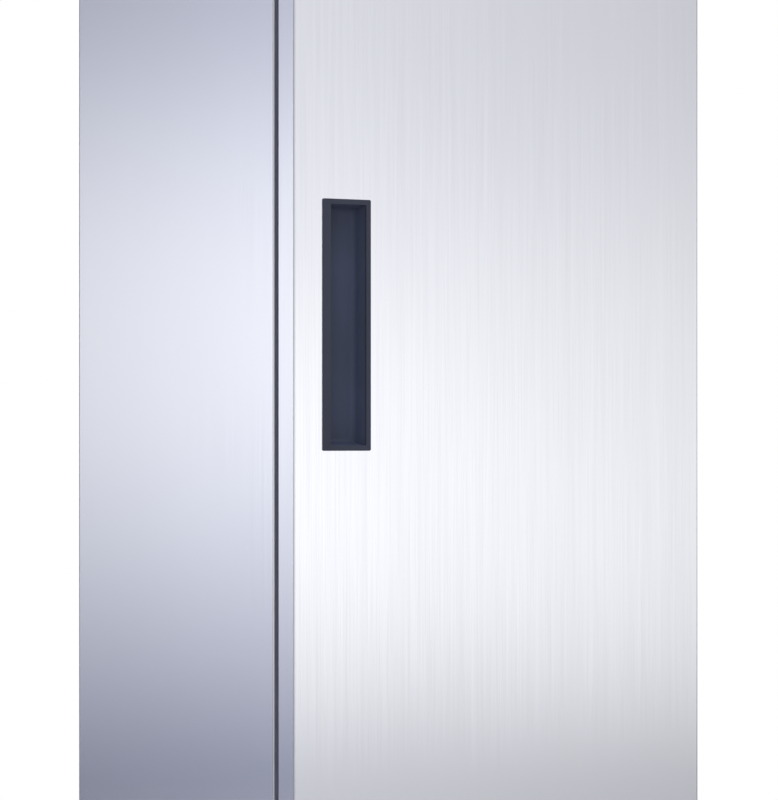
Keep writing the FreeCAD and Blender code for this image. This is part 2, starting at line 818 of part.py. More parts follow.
def fan_motor(centre, arm_reach, arm_start_y):
    """Motor behind the hub with its shaft and a strap forward to the fan's frame."""
    x, y, z = centre
    back = y + fan_hub_length
    gap = 3.0
    body = prism_y(polygon(motor_radius, motor_sides, (x, z)), back + gap,
                   back + gap + motor_length)
    shaft = rod(motor_shaft_radius, (x, y, z), (x, back + gap, z))
    half = motor_arm_width / 2
    mid = back + gap + motor_length / 2
    strap = block(x - arm_reach, x + arm_reach, mid, mid + motor_arm_thickness, z - half, z + half)
    legs = []
    for x0 in (x - arm_reach, x + arm_reach - motor_arm_thickness):
        legs.append(block(x0, x0 + motor_arm_thickness, arm_start_y, mid, z - half, z + half))
    return body.multiFuse([shaft, strap] + legs).removeSplitter()


# ---- Evaporator, a boxed cooler under the roof of the cold space

evaporator_back = liner_back - evaporator_back_gap
evaporator_front = evaporator_back - evaporator_depth
evaporator_bottom = liner_ceiling - evaporator_height
evaporator_half = evaporator_width / 2
evaporator_fan_z = evaporator_bottom + evaporator_height / 2
evaporator_fan_y = evaporator_front + evaporator_sheet + 2.0


def evaporator_cover():
    """Sheet box, open to the roof and at the back, with the fan opening in front."""
    s = evaporator_sheet
    outer = block(-evaporator_half, evaporator_half, evaporator_front, evaporator_back,
                  evaporator_bottom, liner_ceiling)
    hollow = block(-evaporator_half + s, evaporator_half - s, evaporator_front + s,
                   evaporator_back + 1, evaporator_bottom + s, liner_ceiling + 1)
    opening = prism_y(polygon(fan_opening_radius, opening_sides, (0, evaporator_fan_z)),
                      evaporator_front - 1, evaporator_front + s + 1)
    inlets = []
    for i in range(6):
        y1 = evaporator_back - 12.0 - 14.0 * i
        inlets.append(block(-evaporator_half + 40.0, evaporator_half - 40.0, y1 - 6.0, y1,
                            evaporator_bottom - 1, evaporator_bottom + s + 1))
    return outer.cut(hollow).cut(opening).cut(Part.makeCompound(inlets))


def evaporator_coil():
    """Finned block hung from the roof between two end plates."""
    half = evaporator_half - coil_side_gap
    y1 = evaporator_back - 6.0
    y0 = y1 - coil_depth
    z1 = liner_ceiling
    z0 = z1 - coil_height
    core = block(-half + fin_thickness, half - fin_thickness, y0 + 6.0, y1 - 6.0, z0 + 6.0, z1)
    plates = [block(-half, -half + fin_thickness, y0, y1, z0, z1),
              block(half - fin_thickness, half, y0, y1, z0, z1)]
    return core.multiFuse(plates).removeSplitter()


def evaporator_fan_guard():
    """Square frame and straight bars over the fan opening."""
    y1 = evaporator_front
    y0 = y1 - guard_bar
    reach = fan_opening_radius + guard_ring
    frame = block(-reach, reach, y0, y1, evaporator_fan_z - reach, evaporator_fan_z + reach)
    inside = reach - guard_ring
    frame = frame.cut(block(-inside, inside, y0 - 1, y1 + 1, evaporator_fan_z - inside,
                            evaporator_fan_z + inside))
    bars = []
    for i in range(guard_bars):
        z = evaporator_fan_z + 2 * inside * ((i + 1) / (guard_bars + 1) - 0.5)
        bars.append(block(-inside, inside, y0, y1, z - guard_bar / 2, z + guard_bar / 2))
    return frame.multiFuse(bars).removeSplitter()


def interior_lamp():
    y0 = front_y + 60.0
    half = lamp_length / 2
    z0 = liner_ceiling - lamp_height
    outline = [(y0, liner_ceiling), (y0 + lamp_width, liner_ceiling), (y0 + lamp_width - 4.0, z0),
               (y0 + 4.0, z0)]
    return prism_x(outline, -half, half)


# ---- Condensing unit on the deck

unit_half = half_width - unit_side_gap
unit_y0 = front_y + unit_front_gap
unit_y1 = unit_y0 + unit_length
unit_floor = deck_top + unit_sheet
condenser_x0 = -unit_half + condenser_left_gap
condenser_x1 = condenser_x0 + condenser_width
condenser_y1 = unit_y0 + unit_lip + condenser_depth
condenser_top = unit_floor + condenser_height
shroud_y1 = condenser_y1 + shroud_depth
condenser_fan_x = (condenser_x0 + condenser_x1) / 2
condenser_fan_z = (unit_floor + condenser_top) / 2
compressor_x = condenser_fan_x
compressor_y = unit_y1 - compressor_radius - 30.0


def unit_base_plate():
    """Tray with turned-up front and rear edges."""
    outline = [
        (unit_y0, deck_top), (unit_y1, deck_top), (unit_y1, deck_top + unit_lip),
        (unit_y1 - unit_sheet, deck_top + unit_lip), (unit_y1 - unit_sheet, unit_floor),
        (unit_y0 + unit_sheet, unit_floor), (unit_y0 + unit_sheet, deck_top + unit_lip),
        (unit_y0, deck_top + unit_lip),
    ]
    return prism_x(outline, -unit_half, unit_half)


def condenser_coil():
    """Fin pack between end plates, with grooves that divide the fins into banks."""
    y0 = condenser_y1 - condenser_depth
    core = block(condenser_x0 + fin_thickness, condenser_x1 - fin_thickness, y0 + 8.0,
                 condenser_y1 - 8.0, unit_floor, condenser_top - 6.0)
    pitch = (condenser_width - 2 * fin_thickness) / (condenser_fins + 1)
    fins = [block(condenser_x0, condenser_x0 + fin_thickness, y0, condenser_y1, unit_floor,
                  condenser_top),
            block(condenser_x1 - fin_thickness, condenser_x1, y0, condenser_y1, unit_floor,
                  condenser_top)]
    for i in range(condenser_fins):
        x = condenser_x0 + fin_thickness + pitch * (i + 1)
        fins.append(block(x - fin_thickness / 2, x + fin_thickness / 2, y0 + 2.0,
                          condenser_y1 - 2.0, unit_floor, condenser_top - 2.0))
    return core.multiFuse(fins).removeSplitter()


def condenser_shroud():
    """Sheet box from the coil to the fan, with a round opening round the blades."""
    s = shroud_sheet
    outer = block(condenser_x0, condenser_x1, condenser_y1, shroud_y1, unit_floor, condenser_top)
    hollow = block(condenser_x0 + s, condenser_x1 - s, condenser_y1 - 1, shroud_y1 - s,
                   unit_floor - 1, condenser_top - s)
    opening = prism_y(polygon(condenser_fan_radius + fan_tip_gap, opening_sides,
                              (condenser_fan_x, condenser_fan_z)), shroud_y1 - s - 1, shroud_y1 + 1)
    return outer.cut(hollow).cut(opening)


def compressor():
    """Welded shell with a shouldered top on a foot plate, over four grommets."""
    x = compressor_x
    y = compressor_y
    r = compressor_radius
    z0 = unit_floor + grommet_height
    z1 = z0 + unit_sheet
    plate = block(x - r - compressor_foot, x + r + compressor_foot, y - r, y + r, z0, z1)
    top = z1 + compressor_height
    shoulder = compressor_shoulder
    shell = rod(r, (x, y, z1), (x, y, top - shoulder))
    dome = rod(r - shoulder, (x, y, top - shoulder), (x, y, top))
    cover = block(x + r - 8.0, x + r + 22.0, y - 22.0, y + 22.0, z1 + 60.0, z1 + 120.0)
    return [plate.multiFuse([shell, dome, cover]).removeSplitter()] + grommets(x, y, r)


def grommets(x, y, r):
    reach_x = r + compressor_foot - grommet_radius - 2.0
    reach_y = r - grommet_radius - 2.0
    feet = []
    for dx in (-reach_x, reach_x):
        for dy in (-reach_y, reach_y):
            feet.append(prism_z(polygon(grommet_radius, 12, (x + dx, y + dy)), unit_floor,
                                unit_floor + grommet_height))
    return feet


def tube(points, radius, bend):
    """Eight-sided tube along straight runs, with each bend in three short steps."""
    corners = [Vector(*p) for p in points]
    path = [corners[0]]
    for i in range(1, len(corners) - 1):
        before = (corners[i - 1] - corners[i]).normalize()
        after = (corners[i + 1] - corners[i]).normalize()
        half_turn = (math.pi - before.getAngle(after)) / 2
        bisector = (before + after).normalize()
        centre = corners[i] + bisector * (bend / math.cos(half_turn))
        step = 2 * half_turn / bend_steps
        reach = bend / math.cos(step / 2)
        axis = before.cross(after)
        spoke = (corners[i] + before * (bend * math.tan(half_turn)) - centre).normalize()
        for k in range(bend_steps):
            turn = FreeCAD.Rotation(axis, -math.degrees(step * (k + 0.5)))
            path.append(centre + turn.multVec(spoke) * reach)
    path.append(corners[-1])
    along = (corners[1] - corners[0]).normalize()
    turn = FreeCAD.Rotation(z_axis, along)
    section = [corners[0] + turn.multVec(Vector(a, b, 0)) for a, b in polygon(radius, 8)]
    section = Part.makePolygon(section + section[:1])
    return Part.makePolygon(path).makePipeShell([section], True, False, 1)


drier_x = condenser_x1 + drier_beside
drier_y = condenser_y1 - condenser_depth / 2
drier_z = unit_floor + drier_above


def filter_drier():
    """Short fat cylinder standing beside the condenser."""
    return prism_z(polygon(drier_radius, drier_sides, (drier_x, drier_y)), drier_z,
                   drier_z + drier_length)


def refrigerant_lines():
    """Discharge, liquid and suction lines between the compressor, coil, drier and deck."""
    line_z = unit_floor + compressor_height * 0.6
    header_y = condenser_y1 - condenser_depth / 2
    header_x = condenser_x0 - line_offset
    discharge = tube([
        (compressor_x, compressor_y, line_z),
        (header_x, compressor_y, line_z),
        (header_x, header_y, line_z),
        (condenser_x0, header_y, line_z),
    ], tube_radius, line_bend)
    low_z = drier_z - drier_drop
    liquid = tube([
        (condenser_x1, drier_y, low_z),
        (drier_x, drier_y, low_z),
        (drier_x, drier_y, drier_z),
    ], tube_radius, line_bend)
    suction_x = compressor_x + compressor_radius / 2
    back = compressor_y + compressor_radius + suction_behind
    suction = tube([
        (suction_x, compressor_y, line_z),
        (suction_x, back, line_z),
        (suction_drop_x, back, line_z),
        (suction_drop_x, back, unit_floor),
    ], suction_radius, line_bend)
    shell = rod(compressor_radius, (compressor_x, compressor_y, unit_floor),
                (compressor_x, compressor_y, unit_floor + compressor_height))
    return [discharge.cut(shell), liquid, suction.cut(shell)]


def electrical_box():
    """Closed steel box beside the compressor, with a lid that overlaps its rim."""
    x1 = unit_half - box_side_gap
    x0 = x1 - box_width
    y0 = unit_y0 + unit_length * 0.42
    y1 = y0 + box_depth
    z1 = unit_floor + box_height
    body = block(x0, x1, y0, y1, unit_floor, z1)
    lid = block(x0 - 2.0, x1 + 2.0, y0 - 2.0, y1 + 2.0, z1, z1 + 12.0)
    return body.fuse(lid).removeSplitter()


def power_inlet():
    """Appliance inlet facing the rear, on its own bracket on the tray."""
    x1 = unit_half - inlet_side_gap
    x0 = x1 - inlet_width
    z0 = unit_floor + 40.0
    z1 = z0 + inlet_height
    y1 = unit_y1
    y0 = y1 - inlet_depth
    bracket = prism_x([
        (y0, unit_floor), (y1 - unit_sheet, unit_floor), (y1 - unit_sheet, unit_floor + unit_sheet),
        (y0 + unit_sheet, unit_floor + unit_sheet), (y0 + unit_sheet, z1 + 6.0), (y0, z1 + 6.0),
    ], x0 - 8.0, x1 + 8.0)
    body = block(x0, x1, y0 + unit_sheet, y1, z0, z1)
    socket = block(x0 + 6.0, x1 - 6.0, y1 - 16.0, y1 + 1, z0 + 5.0, z1 - 5.0)
    tongue = block(x0 + 14.0, x1 - 14.0, y1 - 16.0, y1 - 3.0, z0 + 10.0, z1 - 10.0)
    return bracket.fuse(body).cut(socket).fuse(tongue).removeSplitter()


# ---- Front grille, hinged along its top edge

grille_bottom = door_top + grille_gap
grille_top = overall_height - grille_top_gap
grille_front = door_front_y + grille_setback
grille_back = front_y - grille_back_gap
grille_axis_y = grille_back - grille_pivot
grille_axis_z = grille_top - grille_pivot
bezel_x1 = half_width - bezel_from_right
bezel_x0 = bezel_x1 - bezel_width
bezel_z0 = grille_bottom + bezel_from_bottom
bezel_z1 = bezel_z0 + bezel_height
ear_x1 = half_width - grille_sheet - fit_gap
ear_x0 = ear_x1 - ear_sheet


def top_rail():
    """Channel across the top front with two forward ears that carry the grille's pins."""
    z1 = overall_height
    z0 = z1 - top_rail_height
    s = top_rail_sheet
    rail = block(-land_half, land_half, front_y, front_y + top_rail_depth, z0, z1).cut(
        block(-land_half - 1, land_half + 1, front_y + s, front_y + top_rail_depth + 1,
              z0 + s, z1 - s))
    ears = []
    drop = grille_axis_z - ear_drop
    outline = [
        (grille_axis_y - ear_radius, grille_axis_z + ear_radius * 0.4),
        (grille_axis_y - ear_radius * 0.4, grille_axis_z + ear_radius),
        (grille_axis_y + ear_radius * 0.4, grille_axis_z + ear_radius),
        (grille_axis_y + ear_radius, grille_axis_z + ear_radius * 0.4),
        (grille_axis_y + ear_radius, grille_axis_z - 12.0), (front_y, grille_axis_z - 12.0),
        (front_y, drop), (grille_axis_y - ear_radius, drop),
    ]
    ear = prism_x(outline, ear_x0, ear_x1)
    tab = block(land_half - 20.0, ear_x1, front_y - ear_sheet, front_y, drop,
                grille_axis_z - 12.0)
    pin = rod(grille_pin_radius, (ear_x0, grille_axis_y, grille_axis_z),
              (half_width - 0.2, grille_axis_y, grille_axis_z))
    ear = ear.fuse(tab).fuse(pin)
    return rail.multiFuse([ear, mirrored(ear)]).removeSplitter()


def front_grille():
    """Louvered sheet cover: turned edges, hooded louvers, controller opening, pin holes."""
    outer = block(-half_width, half_width, grille_front, grille_back, grille_bottom, grille_top)
    outer = round_edges(outer, grille_bend, lambda c: near(c.y, grille_front))
    s = grille_sheet
    hollow = block(-half_width + s, half_width - s, grille_front + s, grille_back + 1,
                   grille_bottom + s, grille_top - s)
    hollow = round_edges(hollow, grille_bend - s, lambda c: near(c.y, grille_front + s))
    cover = outer.cut(hollow)
    lower = block(-half_width + s, half_width - s, grille_front + grille_lower_return,
                  grille_back + 1, grille_bottom - 1, grille_bottom + s + 1)
    opening = block(bezel_x0 + bezel_lip, bezel_x1 - bezel_lip, grille_front - 1,
                    grille_front + s + 1, bezel_z0 + bezel_lip, bezel_z1 - bezel_lip)
    hole = rod(grille_pin_radius + running_gap, (-half_width - 1, grille_axis_y, grille_axis_z),
               (half_width + 1, grille_axis_y, grille_axis_z))
    slots = []
    hoods = []
    half = louver_width / 2
    for i in range(louver_count):
        z = grille_top - louver_top_margin - i * louver_pitch
        slots.append(block(-half, half, grille_front - 1, grille_front + s + 1,
                           z - louver_slot, z))
        outline = [
            (grille_front, z - louver_slot), (grille_front + s, z - louver_slot),
            (grille_front + louver_hood, z - 1.0), (grille_front + louver_hood - s, z - 1.0),
        ]
        hoods.append(prism_x(outline, -half, half))
    cover = cover.cut(Part.makeCompound(slots + [lower, opening, hole]))
    return cover.multiFuse(hoods).removeSplitter()


# ---- Controller set into the grille

bezel_face = grille_front - bezel_proud
keys = ["down_button", "up_button", "set_button"]
window_x0 = bezel_x0 + 14.0
window_z0 = (bezel_z0 + bezel_z1 - window_height) / 2
first_key_x = window_x0 + window_width + 18.0
key_z = (bezel_z0 + bezel_z1) / 2
rocker_x = bezel_x1 - 20.0


def controller_bezel():
    """Moulded controller body: lip over the grille, window seat, key wells and switch well."""
    lip = block(bezel_x0, bezel_x1, bezel_face, grille_front, bezel_z0, bezel_z1)
    lip = lip.makeChamfer(bezel_proud * 0.5, [e for e in lip.Edges if near(
        e.CenterOfMass.y, bezel_face)])
    body = block(bezel_x0 + bezel_lip + fit_gap, bezel_x1 - bezel_lip - fit_gap, grille_front,
                 grille_front + bezel_depth, bezel_z0 + bezel_lip + fit_gap,
                 bezel_z1 - bezel_lip - fit_gap)
    wells = [block(window_x0, window_x0 + window_width, bezel_face - 1,
                   bezel_face + window_thickness, window_z0, window_z0 + window_height)]
    for i in range(len(keys)):
        x = first_key_x + i * key_pitch
        wells.append(block(x - key_width / 2 - key_gap, x + key_width / 2 + key_gap,
                           bezel_face - 1, bezel_face + key_depth + key_travel,
                           key_z - key_height / 2 - key_gap, key_z + key_height / 2 + key_gap))
    wells.append(block(rocker_x - rocker_width / 2 - key_gap, rocker_x + rocker_width / 2 + key_gap,
                       bezel_face - 1, bezel_face + rocker_depth + 4.0,
                       key_z - rocker_height / 2 - 2 * key_gap,
                       key_z + rocker_height / 2 + 2 * key_gap))
    return lip.fuse(body).cut(Part.makeCompound(wells))


def display_window():
    return block(window_x0 + 0.1, window_x0 + window_width - 0.1, bezel_face,
                 bezel_face + window_thickness, window_z0 + 0.1, window_z0 + window_height - 0.1)


def control_button(index):
    """Key cap with a chamfered face, standing proud of the controller."""
    x = first_key_x + index * key_pitch
    cap = block(x - key_width / 2, x + key_width / 2, bezel_face - key_proud,
                bezel_face + key_depth, key_z - key_height / 2, key_z + key_height / 2)
    return cap.makeChamfer(0.6, [e for e in cap.Edges if near(
        e.CenterOfMass.y, bezel_face - key_proud)])


def power_switch():
    """Rocker tilted to one side, turning on an axis along X through the face."""
    half = rocker_height / 2
    axis_y = bezel_face + rocker_depth / 2
    outline = [
        (-rocker_proud - rocker_depth / 2, half - 1.5), (-rocker_depth / 2 + 0.4, 0.0),
        (-rocker_proud - rocker_depth / 2, -half + 1.5),
        (0.0, -half + 0.6), (rocker_depth / 2, -half * 0.45), (rocker_depth / 2, half * 0.45),
        (0.0, half - 0.6),
    ]
    outline = [(axis_y + dy, key_z + dz) for dy, dz in outline]
    rocker = prism_x(outline, rocker_x - rocker_width / 2, rocker_x + rocker_width / 2)
    rocker.rotate(Vector(0, axis_y, key_z), x_axis, rocker_tilt)
    return rocker


# ---- Every sub-part by name

def sub_parts():
    right_side = side_panel()
    fan_centre = (condenser_fan_x, shroud_y1 - fan_hub_length / 2, condenser_fan_z)
    cold_fan_centre = (0.0, evaporator_fan_y, evaporator_fan_z)
    parts = {
        "side_panel_left": mirrored(right_side),
        "side_panel_right": right_side,
        "back_panel": back_panel(),
        "deck_panel": deck_panel(),
        "floor_panel": floor_panel(),
        "cabinet_foam": cabinet_foam(),
        "inner_liner": inner_liner(),
        "face_frame": face_frame(),
        "breaker_strips": breaker_strips(),
        "base_rails": base_rails(),
        "caster_plates": [caster_plate(x, y) for x, y in caster_places.values()],
        "door_pan": door_pan(),
        "door_foam": door_foam(),
        "door_inner_panel": door_inner_panel(),
        "door_gasket": door_gasket(),
        "handle_recess": handle_recess(),
        "hinge_bushings": hinge_bushings(),
        "hinge_cartridge": hinge_cartridge(),
        "top_hinge_bracket": top_hinge_bracket(),
        "bottom_hinge_bracket": bottom_hinge_bracket(),
        "mounting_bolts": mounting_bolts(),
        "shelf_pilasters": shelf_pilasters(),
        "shelf_clips": shelf_clips(),
        "evaporator_cover": evaporator_cover(),
        "evaporator_coil": evaporator_coil(),
        "evaporator_fan_motor": fan_motor(cold_fan_centre, fan_opening_radius + 10.0,
                                          evaporator_front + evaporator_sheet),
        "evaporator_fan_blade": fan_blade(cold_fan_centre, evaporator_fan_radius),
        "evaporator_fan_guard": evaporator_fan_guard(),
        "interior_lamp": interior_lamp(),
        "unit_base_plate": unit_base_plate(),
        "compressor": compressor(),
        "condenser_coil": condenser_coil(),
        "condenser_shroud": condenser_shroud(),
        "condenser_fan_motor": fan_motor(fan_centre, condenser_fan_radius + fan_tip_gap + 4.0,
                                         shroud_y1),
        "condenser_fan_blade": fan_blade(fan_centre, condenser_fan_radius),
        "filter_drier": filter_drier(),
        "refrigerant_lines": refrigerant_lines(),
        "electrical_box": electrical_box(),
        "power_inlet": power_inlet(),
        "top_rail": top_rail(),
        "front_grille": front_grille(),
        "controller_bezel": controller_bezel(),
        "display_window": display_window(),
        "power_switch": power_switch(),
    }
    for place, (x, y) in caster_places.items():
        has_pedal = place.startswith("front")
        parts["caster_fork_" + place] = caster_fork(x, y, has_pedal)
        parts["caster_wheel_" + place] = caster_wheel(x, y)
        if has_pedal:
            parts["brake_pedal_" + place] = brake_pedal(x, y)
    for name, height in zip(("lower", "middle", "upper"), shelf_heights):
        parts["shelf_" + name] = wire_shelf(height)
    for index, name in enumerate(keys):
        parts[name] = control_button(index)
    return parts


os.makedirs("parts", exist_ok=True)
for name, shape in sub_parts().items():
    if isinstance(shape, list):
        shape = Part.makeCompound(shape)
    shape.exportStep("parts/" + name + ".step")
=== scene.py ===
import json
import math

import bmesh
import bpy
from mathutils import Matrix, Vector


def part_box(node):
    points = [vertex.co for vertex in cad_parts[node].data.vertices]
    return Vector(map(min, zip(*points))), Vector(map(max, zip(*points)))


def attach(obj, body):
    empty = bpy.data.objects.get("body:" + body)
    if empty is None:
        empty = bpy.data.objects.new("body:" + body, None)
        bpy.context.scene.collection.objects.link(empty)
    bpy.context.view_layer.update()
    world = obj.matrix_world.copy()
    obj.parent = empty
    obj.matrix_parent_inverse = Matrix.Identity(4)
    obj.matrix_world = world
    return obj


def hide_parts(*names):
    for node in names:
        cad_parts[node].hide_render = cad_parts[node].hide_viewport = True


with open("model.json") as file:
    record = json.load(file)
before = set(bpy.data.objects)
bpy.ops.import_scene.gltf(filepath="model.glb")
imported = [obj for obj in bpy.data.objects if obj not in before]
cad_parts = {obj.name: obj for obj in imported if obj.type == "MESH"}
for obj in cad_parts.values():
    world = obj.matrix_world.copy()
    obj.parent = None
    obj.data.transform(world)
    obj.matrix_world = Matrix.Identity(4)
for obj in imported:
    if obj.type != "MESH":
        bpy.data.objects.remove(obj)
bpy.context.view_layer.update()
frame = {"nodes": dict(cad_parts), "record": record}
nodes = frame["nodes"]
mm = 0.001
weldGap = 0.01 * mm             # points nearer than this are one point
print("frame loaded:", len(nodes), "nodes")


# camera, at the height and angle of the photograph
camera = {
    "place": (-2.322, -4.484, 0.998),
    "heading": 27.6,            # degrees right of straight at the door
    "lens": 142.97,
    "lift": 0.047,              # the horizon lies below the middle of the picture
}
bpy.ops.object.select_all(action="DESELECT")
bpy.ops.object.camera_add(
    location=camera["place"],
    rotation=(math.radians(90), 0, -math.radians(camera["heading"])))
photoCamera = bpy.context.object
photoCamera.name = "photo_camera"
photoCamera.data.lens = camera["lens"]
photoCamera.data.sensor_width = 36
photoCamera.data.shift_y = camera["lift"]
photoCamera.data.clip_end = 60
bpy.context.scene.camera = photoCamera


# shader helpers
def addNode(tree, kind, **values):
    node = tree.nodes.new(kind)
    for key, value in values.items():
        setattr(node, key, value)
    return node


def plug(tree, source, socket):
    tree.links.new(source, socket)


def patternSpace(tree, stretch=(1, 1, 1)):
    place = addNode(tree, "ShaderNodeTexCoord")
    mapping = addNode(tree, "ShaderNodeMapping")
    mapping.inputs["Scale"].default_value = stretch
    plug(tree, place.outputs["Object"], mapping.inputs["Vector"])
    return mapping.outputs["Vector"]


def cloudValue(tree, stretch, detail=2):
    noise = addNode(tree, "ShaderNodeTexNoise")
    noise.inputs["Scale"].default_value = 1
    noise.inputs["Detail"].default_value = detail
    plug(tree, patternSpace(tree, stretch), noise.inputs["Vector"])
    return noise.outputs["Fac"]


def ranged(tree, value, low, high, start=0.3, end=0.7):
    step = addNode(tree, "ShaderNodeMapRange")
    for socket, number in (("From Min", start), ("From Max", end), ("To Min", low), ("To Max", high)):
        step.inputs[socket].default_value = number
    plug(tree, value, step.inputs["Value"])
    return step.outputs["Result"]


def sumOf(tree, first, second, kind="ADD"):
    step = addNode(tree, "ShaderNodeMath", operation=kind)
    for index, value in enumerate((first, second)):
        if isinstance(value, (int, float)):
            step.inputs[index].default_value = value
        else:
            plug(tree, value, step.inputs[index])
    return step.outputs[0]


# the patterns added up, each by its share
def blended(tree, *patterns):
    parts = [sumOf(tree, value, share, "MULTIPLY") for value, share in patterns]
    total = parts[0]
    for part in parts[1:]:
        total = sumOf(tree, total, part)
    return total


def tinted(tree, value, dark, light, start=0.3, end=0.7):
    ramp = addNode(tree, "ShaderNodeValToRGB")
    for stop, place, colour in zip(ramp.color_ramp.elements, (start, end), (dark, light)):
        stop.position = place
        stop.color = (*colour, 1)
    plug(tree, value, ramp.inputs["Fac"])
    return ramp.outputs["Color"]


def tintMix(tree, kind, first, second, share=1):
    mix = addNode(tree, "ShaderNodeMix", data_type="RGBA", blend_type=kind)
    for socket, value in (("Factor", share), ("A", first), ("B", second)):
        if isinstance(value, tuple):
            mix.inputs[socket].default_value = (*value, 1)
        elif isinstance(value, (int, float)):
            mix.inputs[socket].default_value = value
        else:
            plug(tree, value, mix.inputs[socket])
    return mix.outputs["Result"]


def mixedShaders(tree, share, first, second):
    mix = addNode(tree, "ShaderNodeMixShader")
    for index, source in enumerate((share, first, second)):
        plug(tree, source, mix.inputs[index])
    return mix.outputs[0]


def newFinish(name, look, metallic=0.0):
    material = bpy.data.materials.new(name)
    material.use_nodes = True
    tree = material.node_tree
    shader = tree.nodes["Principled BSDF"]
    shader.inputs["Base Color"].default_value = (*look["colour"], 1)
    shader.inputs["Roughness"].default_value = look["roughness"]
    shader.inputs["Metallic"].default_value = metallic
    return material, tree, shader


def raised(tree, shader, height, depth):
    bump = addNode(tree, "ShaderNodeBump")
    bump.inputs["Distance"].default_value = depth
    plug(tree, height, bump.inputs["Height"])
    plug(tree, bump.outputs["Normal"], shader.inputs["Normal"])


def shaded(colour, share):
    return tuple(min(1.0, part * share) for part in colour)


# the colour goes between two shades with one pattern, the roughness up or down by steps with another
def varied(tree, shader, look, tint, wear, shades, steps, tintEnds=(0.3, 0.7), wearEnds=(0.3, 0.7)):
    dark, light = (shaded(look["colour"], shade) for shade in shades)
    plug(tree, tinted(tree, tint, dark, light, *tintEnds), shader.inputs["Base Color"])
    levels = [look["roughness"] + step for step in steps]
    plug(tree, ranged(tree, wear, *levels, *wearEnds), shader.inputs["Roughness"])


# brushed stainless steel: upright grain, reflections drawn out sideways
def brushedSteel(name, look):
    material, tree, shader = newFinish(name, look, 1.0)
    grain = look["grain"]
    fine = cloudValue(tree, (grain, grain, grain / 160), 3)             # 160 times as long as wide
    streaks = cloudValue(tree, (grain / 9, grain / 9, grain / 700))     # wider and longer still
    clouds = cloudValue(tree, (2.6, 2.6, 1.7), 3)
    mixed = blended(tree, (fine, 0.55), (streaks, 0.20), (clouds, 0.25))
    varied(tree, shader, look, mixed, mixed, shades=(1 - look["spread"], 1 + look["spread"]),
           steps=(0.015, -0.015), tintEnds=(0.36, 0.64), wearEnds=(0.36, 0.64))
    raised(tree, shader, fine, look["depth"])
    shader.inputs["Anisotropic"].default_value = look["drawn"]
    # the sideways direction on each face, in the piece's own space
    place = addNode(tree, "ShaderNodeTexCoord")
    sideways = addNode(tree, "ShaderNodeVectorMath", operation="CROSS_PRODUCT")
    sideways.inputs[1].default_value = (0.02, 0.01, 1)      # leans, so that level faces have one too
    plug(tree, place.outputs["Normal"], sideways.inputs[0])
    outward = addNode(tree, "ShaderNodeVectorTransform", vector_type="VECTOR",
                      convert_from="OBJECT", convert_to="WORLD")
    plug(tree, sideways.outputs["Vector"], outward.inputs["Vector"])
    plug(tree, outward.outputs["Vector"], shader.inputs["Tangent"])
    return material


# zinc coated sheet with its crystal spangle
def galvanisedSheet(name, look):
    material, tree, shader = newFinish(name, look, 1.0)
    cells = addNode(tree, "ShaderNodeTexVoronoi")
    cells.inputs["Scale"].default_value = 1 / look["crystal"]
    plug(tree, patternSpace(tree), cells.inputs["Vector"])
    spangle = addNode(tree, "ShaderNodeRGBToBW")
    plug(tree, cells.outputs["Color"], spangle.inputs["Color"])
    worn = cloudValue(tree, (5, 5, 5), 4)
    mixed = blended(tree, (spangle.outputs["Val"], 0.6), (worn, 0.4))
    varied(tree, shader, look, mixed, mixed, shades=(0.94, 1.05), steps=(-0.04, 0.05),
           tintEnds=(0.2, 0.8), wearEnds=(0.2, 0.8))
    raised(tree, shader, worn, 0.0003)
    return material


# rolled or drawn metal: fins, liner, plated brackets, copper
def plainMetal(name, look):
    material, tree, shader = newFinish(name, look, look.get("metallic", 1.0))
    rolled = cloudValue(tree, look["rolled"], 3)
    worn = cloudValue(tree, (14, 14, 11), 4)
    mixed = blended(tree, (rolled, 0.5), (worn, 0.5))
    varied(tree, shader, look, mixed, worn, shades=(0.88, 1.07), steps=(-0.07, 0.09), tintEnds=(0.35, 0.65))
    raised(tree, shader, rolled, 0.00003)
    return material


# moulded plastic and rubber: fine grain, slight mottle, scuffs on the high spots
def moulded(name, look):
    material, tree, shader = newFinish(name, look)
    grain = cloudValue(tree, (look["grain"],) * 3)
    mottle = cloudValue(tree, (11, 11, 7), 4)
    varied(tree, shader, look, mottle, mottle, shades=(1 - look["mottle"], 1 + look["mottle"]),
           steps=(-0.06, 0.07), tintEnds=(0.32, 0.68))
    raised(tree, shader, grain, look["depth"])
    shader.inputs["Specular IOR Level"].default_value = look.get("shine", 0.5)
    return material


# stove enamel, powder coat and dipped coating over metal
def coated(name, look):
    material, tree, shader = newFinish(name, look)
    peel = cloudValue(tree, (look["peel"],) * 3)
    dust = cloudValue(tree, (9, 9, 6), 5)
    varied(tree, shader, look, dust, dust, shades=(0.9, 1.08), steps=(-0.05, 0.1))
    raised(tree, shader, peel, look["depth"])
    shader.inputs["Coat Weight"].default_value = look.get("coat", 0.2)
    shader.inputs["Coat Roughness"].default_value = 0.15
    return material


